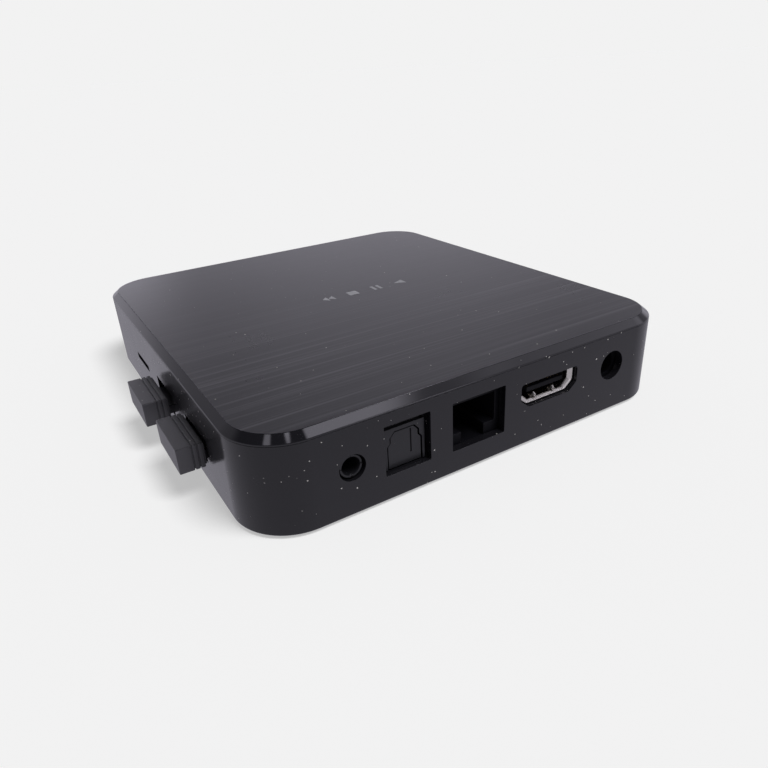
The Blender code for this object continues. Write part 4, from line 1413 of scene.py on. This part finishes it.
@dataclass
class DustPlug:
    """Rubber dust plug: ribbed grip with soft edges, and the insert inside the port."""

    case: CaseFrame
    centre: tuple[float, float]
    number: int
    half: tuple[float, float] = (7.75, 2.9)
    length: float = 6.1
    corner: float = 0.35

    def build(self, shop: Workshop) -> None:
        """Carry the grip's outline outwards through its grooves, then add the insert.

        Args:
            shop: workshop that makes and dresses the pieces.
        """
        node = f"dust_plug_{self.number}"
        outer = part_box(node)[1].x / MM
        start = outer - self.length
        origin = (start, self.centre[0], self.centre[1])
        corners = [(-2.7, 0.3), (-0.5, 0.3), (-0.5, 0.72), (0.0, 0.78), (0.0, 1.6), (-0.3, 1.66),
                   (-0.3, 1.84), (0.0, 1.9), (0.0, 2.75), (-0.3, 2.81), (-0.3, 2.99), (0.0, 3.05),
                   (0.0, self.length), (-2.7, self.length)]
        radii = [0.0, 0.12, 0.02, 0.12, 0.12, 0.03, 0.03, 0.12, 0.12, 0.03, 0.03, 0.12, 0.2, 0.0]
        grip = sweep(Outline.rectangle(*self.half, self.corner, 5), rounded_profile(corners, radii, 4),
                     Axis.X, origin)
        y, z = self.centre
        insert = sweep(Outline.rectangle(5.85, 1.075, 0.25, 3, (y, z - 1.075)),
                       [(-0.25, start - 12.8), (0.0, start - 12.5), (0.0, start + 0.5)], Axis.X)
        shop.piece(f"{node}_look", carved(grip, [insert]), PLUG, body=node, replaces=[node])


@dataclass
class SideSockets:
    """Data ports behind their dust plugs, and the memory card socket."""

    case: CaseFrame
    sockets: Sockets

    def build(self, shop: Workshop) -> None:
        """Make both ports with their contacts and plugs, then the card socket.

        Args:
            shop: workshop that makes and dresses the pieces.
        """
        for number, centre in enumerate(self.sockets.ports, 1):
            shop.refined(f"port_shell_{number}", STEEL, FINE)
            shop.refined(f"port_tongue_{number}", SOCKET, FINE)
            x, y, z = self.case.side(centre)
            contacts = [box_mesh((x - 12.0, y + at - 0.5, z + 0.26), (x - 4.6, y + at + 0.5, z + 0.34))
                        for at in (-3.5, -1.0, 1.0, 3.5)]
            shop.piece(f"port_contacts_{number}", joined(contacts), GOLD)
            DustPlug(self.case, centre, number).build(shop)
        shop.refined("card_socket", STEEL, FINE)


@dataclass
class FrontWindow:
    """Smoked window pressed into the front wall."""

    case: CaseFrame
    sockets: Sockets

    def build(self, shop: Workshop) -> None:
        """Carry the pane's outline through the wall, with a soft outer edge and an inner flange.

        Args:
            shop: workshop that makes and dresses the pieces.
        """
        face = -self.case.half_y
        corners = [(-1.9, face + 0.05), (0.0, face + 0.05), (0.0, face + 2.3), (1.0, face + 2.3),
                   (1.0, face + 3.1), (-1.9, face + 3.1)]
        profile = rounded_profile(corners, [0.0, 0.25, 0.0, 0.0, 0.1, 0.0], 4)
        outline = Outline.rectangle(*self.sockets.window_half, 2.0, 8, (self.case.x, self.sockets.window_z))
        shop.piece("window_pane", sweep(outline, profile, Axis.Y), WINDOW, FINE,
                   replaces=["front_window"])


@dataclass
class Underside:
    """Rubber feet and the case screws behind them."""

    def build(self, shop: Workshop) -> None:
        """Round each foot's lower edge and dress the screws.

        Args:
            shop: workshop that makes and dresses the pieces.
        """
        for number in range(1, 5):
            node = f"rubber_foot_{number}"
            low, high = (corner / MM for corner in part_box(node))
            centre = ((low.x + high.x) / 2, (low.y + high.y) / 2)
            radius = (high.x - low.x) / 2
            profile = rounded_profile([(-radius + 0.05, low.z), (0.0, low.z), (0.0, high.z),
                                       (-radius + 0.05, high.z)], [0.0, 0.3, 0.08, 0.0], 5)
            mesh = sweep(Outline.circle(radius, 16, centre), profile, Axis.Z)
            shop.piece(f"{node}_look", mesh, FOOT, replaces=[node])
            shop.dress(f"case_screw_{number}", ZINC)


@dataclass
class BoardParts:
    """Circuit board and what stands on it, dressed in place."""

    finishes: tuple[tuple[str, Finish], ...] = (
        ("main_board", BOARD), ("processor", CHIP), ("thermal_pad", PAD), ("heatsink", ALUMINIUM),
        ("memory_chip_1", CHIP), ("memory_chip_2", CHIP), ("flash_chip", CHIP), ("capacitor_1", ALUMINIUM),
        ("capacitor_2", ALUMINIUM), ("power_inductor", FERRITE), ("clock_crystal", STEEL),
        ("lan_transformer", CHIP), ("radio_module", STEEL), ("radio_antenna", AERIAL),
        ("antenna_lead", CABLE), ("infrared_receiver", CHIP), ("status_lamp", LAMP),
        ("board_screw_1", ZINC), ("board_screw_2", ZINC), ("board_screw_3", ZINC), ("board_screw_4", ZINC))

    def build(self, shop: Workshop) -> None:
        """Dress every part."""
        for node, finish in self.finishes:
            shop.dress(node, finish)


# --- Studio ------------------------------------------------------------------------


@dataclass
class Studio:
    """Pale floor, soft light and the camera."""

    case: CaseFrame
    azimuth: float = 149.73
    elevation: float = 26.40
    roll: float = -3.258
    distance: float = 150.8
    aim: tuple[float, float, float] = (11.31, 33.18, 11.0)
    lens: float = 30.02
    backdrop: float = 0.887
    paper: float = 0.55
    lift: float = 0.45
    bounce: float = 0.50
    ambient: float = 0.12
    tint: Colour = (1.0, 0.97, 1.10)
    room: float = 0.33
    ceiling: tuple[float, float, float] = (34.0, 46.0, 0.16)
    band: tuple[float, float, float] = (10.0, 16.0, 0.85)
    panels: tuple[tuple[float, float, float, float, float], ...] = (
        (-121.0, 24.0, 5.0, 18.0, 0.20), (143.0, 62.0, 3.0, 8.0, 2.6), (165.0, 38.0, 8.0, 18.0, 0.75),
        (153.0, 53.0, 3.0, 7.0, 0.40), (-163.0, 61.0, 3.0, 8.0, 6.0), (122.0, 25.0, 4.0, 9.0, 4.0),
        (-95.0, 8.0, 5.0, 8.5, 1.2), (80.0, 75.0, 1.5, 4.0, 3.0), (15.0, 66.0, 2.0, 5.0, 2.0))
    key_from: tuple[float, float] = (118.0, 62.0)
    key_spread: float = 26.0
    key_energy: float = 2.40

    def camera(self) -> None:
        """Camera on its azimuth, elevation and roll, at its distance from the aim point."""
        a, e, r = (math.radians(value) for value in (self.azimuth, self.elevation, self.roll))
        back = Vector((math.sin(a) * math.cos(e), -math.cos(a) * math.cos(e), math.sin(e)))
        right = Vector((0, 0, 1)).cross(back).normalized()
        up = back.cross(right)
        turned = Matrix.Rotation(r, 3, back)
        right, up = turned @ right, turned @ up
        aim = Vector((self.case.x + self.aim[0], self.aim[1], self.aim[2])) * MM
        data = bpy.data.cameras.new("camera")
        data.lens = self.lens
        data.sensor_width = 36.0
        data.clip_start = 0.005
        data.clip_end = 100.0
        item = bpy.data.objects.new("camera", data)
        place = Matrix((right, up, back)).transposed().to_4x4()
        place.translation = aim + back * self.distance * MM
        item.matrix_world = place
        bpy.context.scene.collection.objects.link(item)
        bpy.context.scene.camera = item

    def floor(self) -> None:
        """Plain pale floor at the level that the feet stand on."""
        mesh = bpy.data.meshes.new("floor")
        half = 30.0
        mesh.from_pydata([(-half, -half, 0), (half, -half, 0), (half, half, 0), (-half, half, 0)], [],
                         [(0, 1, 2, 3)])
        item = bpy.data.objects.new("floor", mesh)
        bpy.context.scene.collection.objects.link(item)
        material = bpy.data.materials.new("floor_paper")
        material.use_nodes = True
        material.node_tree.nodes.clear()
        tree = NodeTree(material.node_tree)
        paper = tree.add("ShaderNodeBsdfDiffuse", in_Color=(self.paper, self.paper, self.paper, 1))
        lift = tree.add("ShaderNodeEmission", in_Color=(self.lift, self.lift, self.lift, 1))
        seen = tree.add("ShaderNodeAddShader")
        tree.link(paper.outputs[0], seen.inputs[0])
        tree.link(lift.outputs[0], seen.inputs[1])
        bounce = tree.add("ShaderNodeEmission", in_Color=(*(self.bounce * part for part in self.tint), 1))
        paths = tree.add("ShaderNodeLightPath")
        mix = tree.add("ShaderNodeMixShader")
        tree.link(paths.outputs["Is Camera Ray"], mix.inputs[0])
        tree.link(bounce.outputs[0], mix.inputs[1])
        tree.link(seen.outputs[0], mix.inputs[2])
        tree.link(mix.outputs[0], tree.add("ShaderNodeOutputMaterial").inputs[0])
        mesh.materials.append(material)
        item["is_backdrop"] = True

    def world(self) -> None:
        """Surround: a pale tone to the camera, a grey room with soft panels to gloss, a dim tone to the rest.

        A panel's brightness is smoothstep of the cosine between the ray and the
        panel's middle, so its rim is soft.
        """
        world = bpy.data.worlds.new("studio")
        world.use_nodes = True
        bpy.context.scene.world = world
        tree = NodeTree(world.node_tree)
        background = world.node_tree.nodes["Background"]
        paths = tree.add("ShaderNodeLightPath")
        direction = tree.add("ShaderNodeTexCoord").outputs["Generated"]
        parts = tree.add("ShaderNodeSeparateXYZ")
        tree.link(direction, parts.inputs[0])
        room = tree.remap(parts.outputs["Z"], math.sin(math.radians(self.band[0])),
                          math.sin(math.radians(self.band[1])), self.band[2], self.room)
        dim = tree.remap(parts.outputs["Z"], math.sin(math.radians(self.ceiling[0])),
                         math.sin(math.radians(self.ceiling[1])), 1.0, self.ceiling[2])
        room = tree.maths("MULTIPLY", room, dim)
        for azimuth, elevation, inner, outer, brightness in self.panels:
            a, e = math.radians(azimuth), math.radians(elevation)
            middle = (math.cos(a) * math.cos(e), math.sin(a) * math.cos(e), math.sin(e))
            dot = tree.add("ShaderNodeVectorMath", operation="DOT_PRODUCT")
            tree.link(direction, dot.inputs[0])
            dot.inputs[1].default_value = middle
            glow = tree.remap(dot.outputs["Value"], math.cos(math.radians(outer)),
                              math.cos(math.radians(inner)), 0.0, brightness)
            room = tree.maths("ADD", room, glow)
        glossy = tree.add("ShaderNodeMixRGB", in_Color1=(self.ambient, self.ambient, self.ambient * 1.02, 1))
        tinted = tree.add("ShaderNodeVectorMath", operation="SCALE")
        tinted.inputs[0].default_value = self.tint
        tree.link(room, tinted.inputs["Scale"])
        tree.link(paths.outputs["Is Glossy Ray"], glossy.inputs["Fac"])
        tree.link(tinted.outputs["Vector"], glossy.inputs["Color2"])
        shown = tree.add("ShaderNodeMixRGB", in_Color2=(self.backdrop, self.backdrop, self.backdrop, 1))
        tree.link(paths.outputs["Is Camera Ray"], shown.inputs["Fac"])
        tree.link(glossy.outputs[0], shown.inputs["Color1"])
        tree.link(shown.outputs[0], background.inputs["Color"])

    def key(self) -> None:
        """Broad overhead light that casts the soft shadow and is hidden from reflections."""
        data = bpy.data.lights.new("key", "SUN")
        data.energy = self.key_energy
        data.angle = math.radians(self.key_spread)
        item = bpy.data.objects.new("key", data)
        a, e = (math.radians(value) for value in self.key_from)
        way = Vector((math.cos(a) * math.cos(e), math.sin(a) * math.cos(e), math.sin(e)))
        item.rotation_euler = way.to_track_quat("Z", "Y").to_euler()
        item.visible_glossy = False
        bpy.context.scene.collection.objects.link(item)

    def build(self) -> None:
        """Set up the studio."""
        self.camera()
        self.floor()
        self.world()
        self.key()
        bpy.context.scene.view_settings.view_transform = "Standard"


def write_sizes(look: object) -> None:
    """Define a helper that turns a box into plain lists; nothing is written or returned.

    Args:
        look: box of the finished model; not used.
    """
    def plain(box: object) -> list[list[float]]:
        return [[float(value) for value in corner] for corner in box]


def main() -> None:
    """Load the frame, build every sub-assembly and the studio, and log the nodes left without a finish."""
    logging.basicConfig(level=logging.INFO, format="%(message)s")
    for item in list(bpy.data.objects):
        bpy.data.objects.remove(item)
    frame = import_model()
    shop = Workshop(frame["nodes"])
    case, sockets = CaseFrame.read(), Sockets()
    Studio(case).build()
    HousingShell(case, sockets).build(shop)
    TopCover(case).build(shop)
    PrintedMark(case).build(shop)
    VideoSocket(case, sockets).build(shop)
    RearSockets(case, sockets).build(shop)
    SideSockets(case, sockets).build(shop)
    FrontWindow(case, sockets).build(shop)
    Underside().build(shop)
    BoardParts().build(shop)
    left = sorted(set(frame["nodes"]) - shop.dressed)
    log.info("nodes without a finish: %s", left or "none")
    write_sizes(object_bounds())


if __name__ == "__main__":
    main()
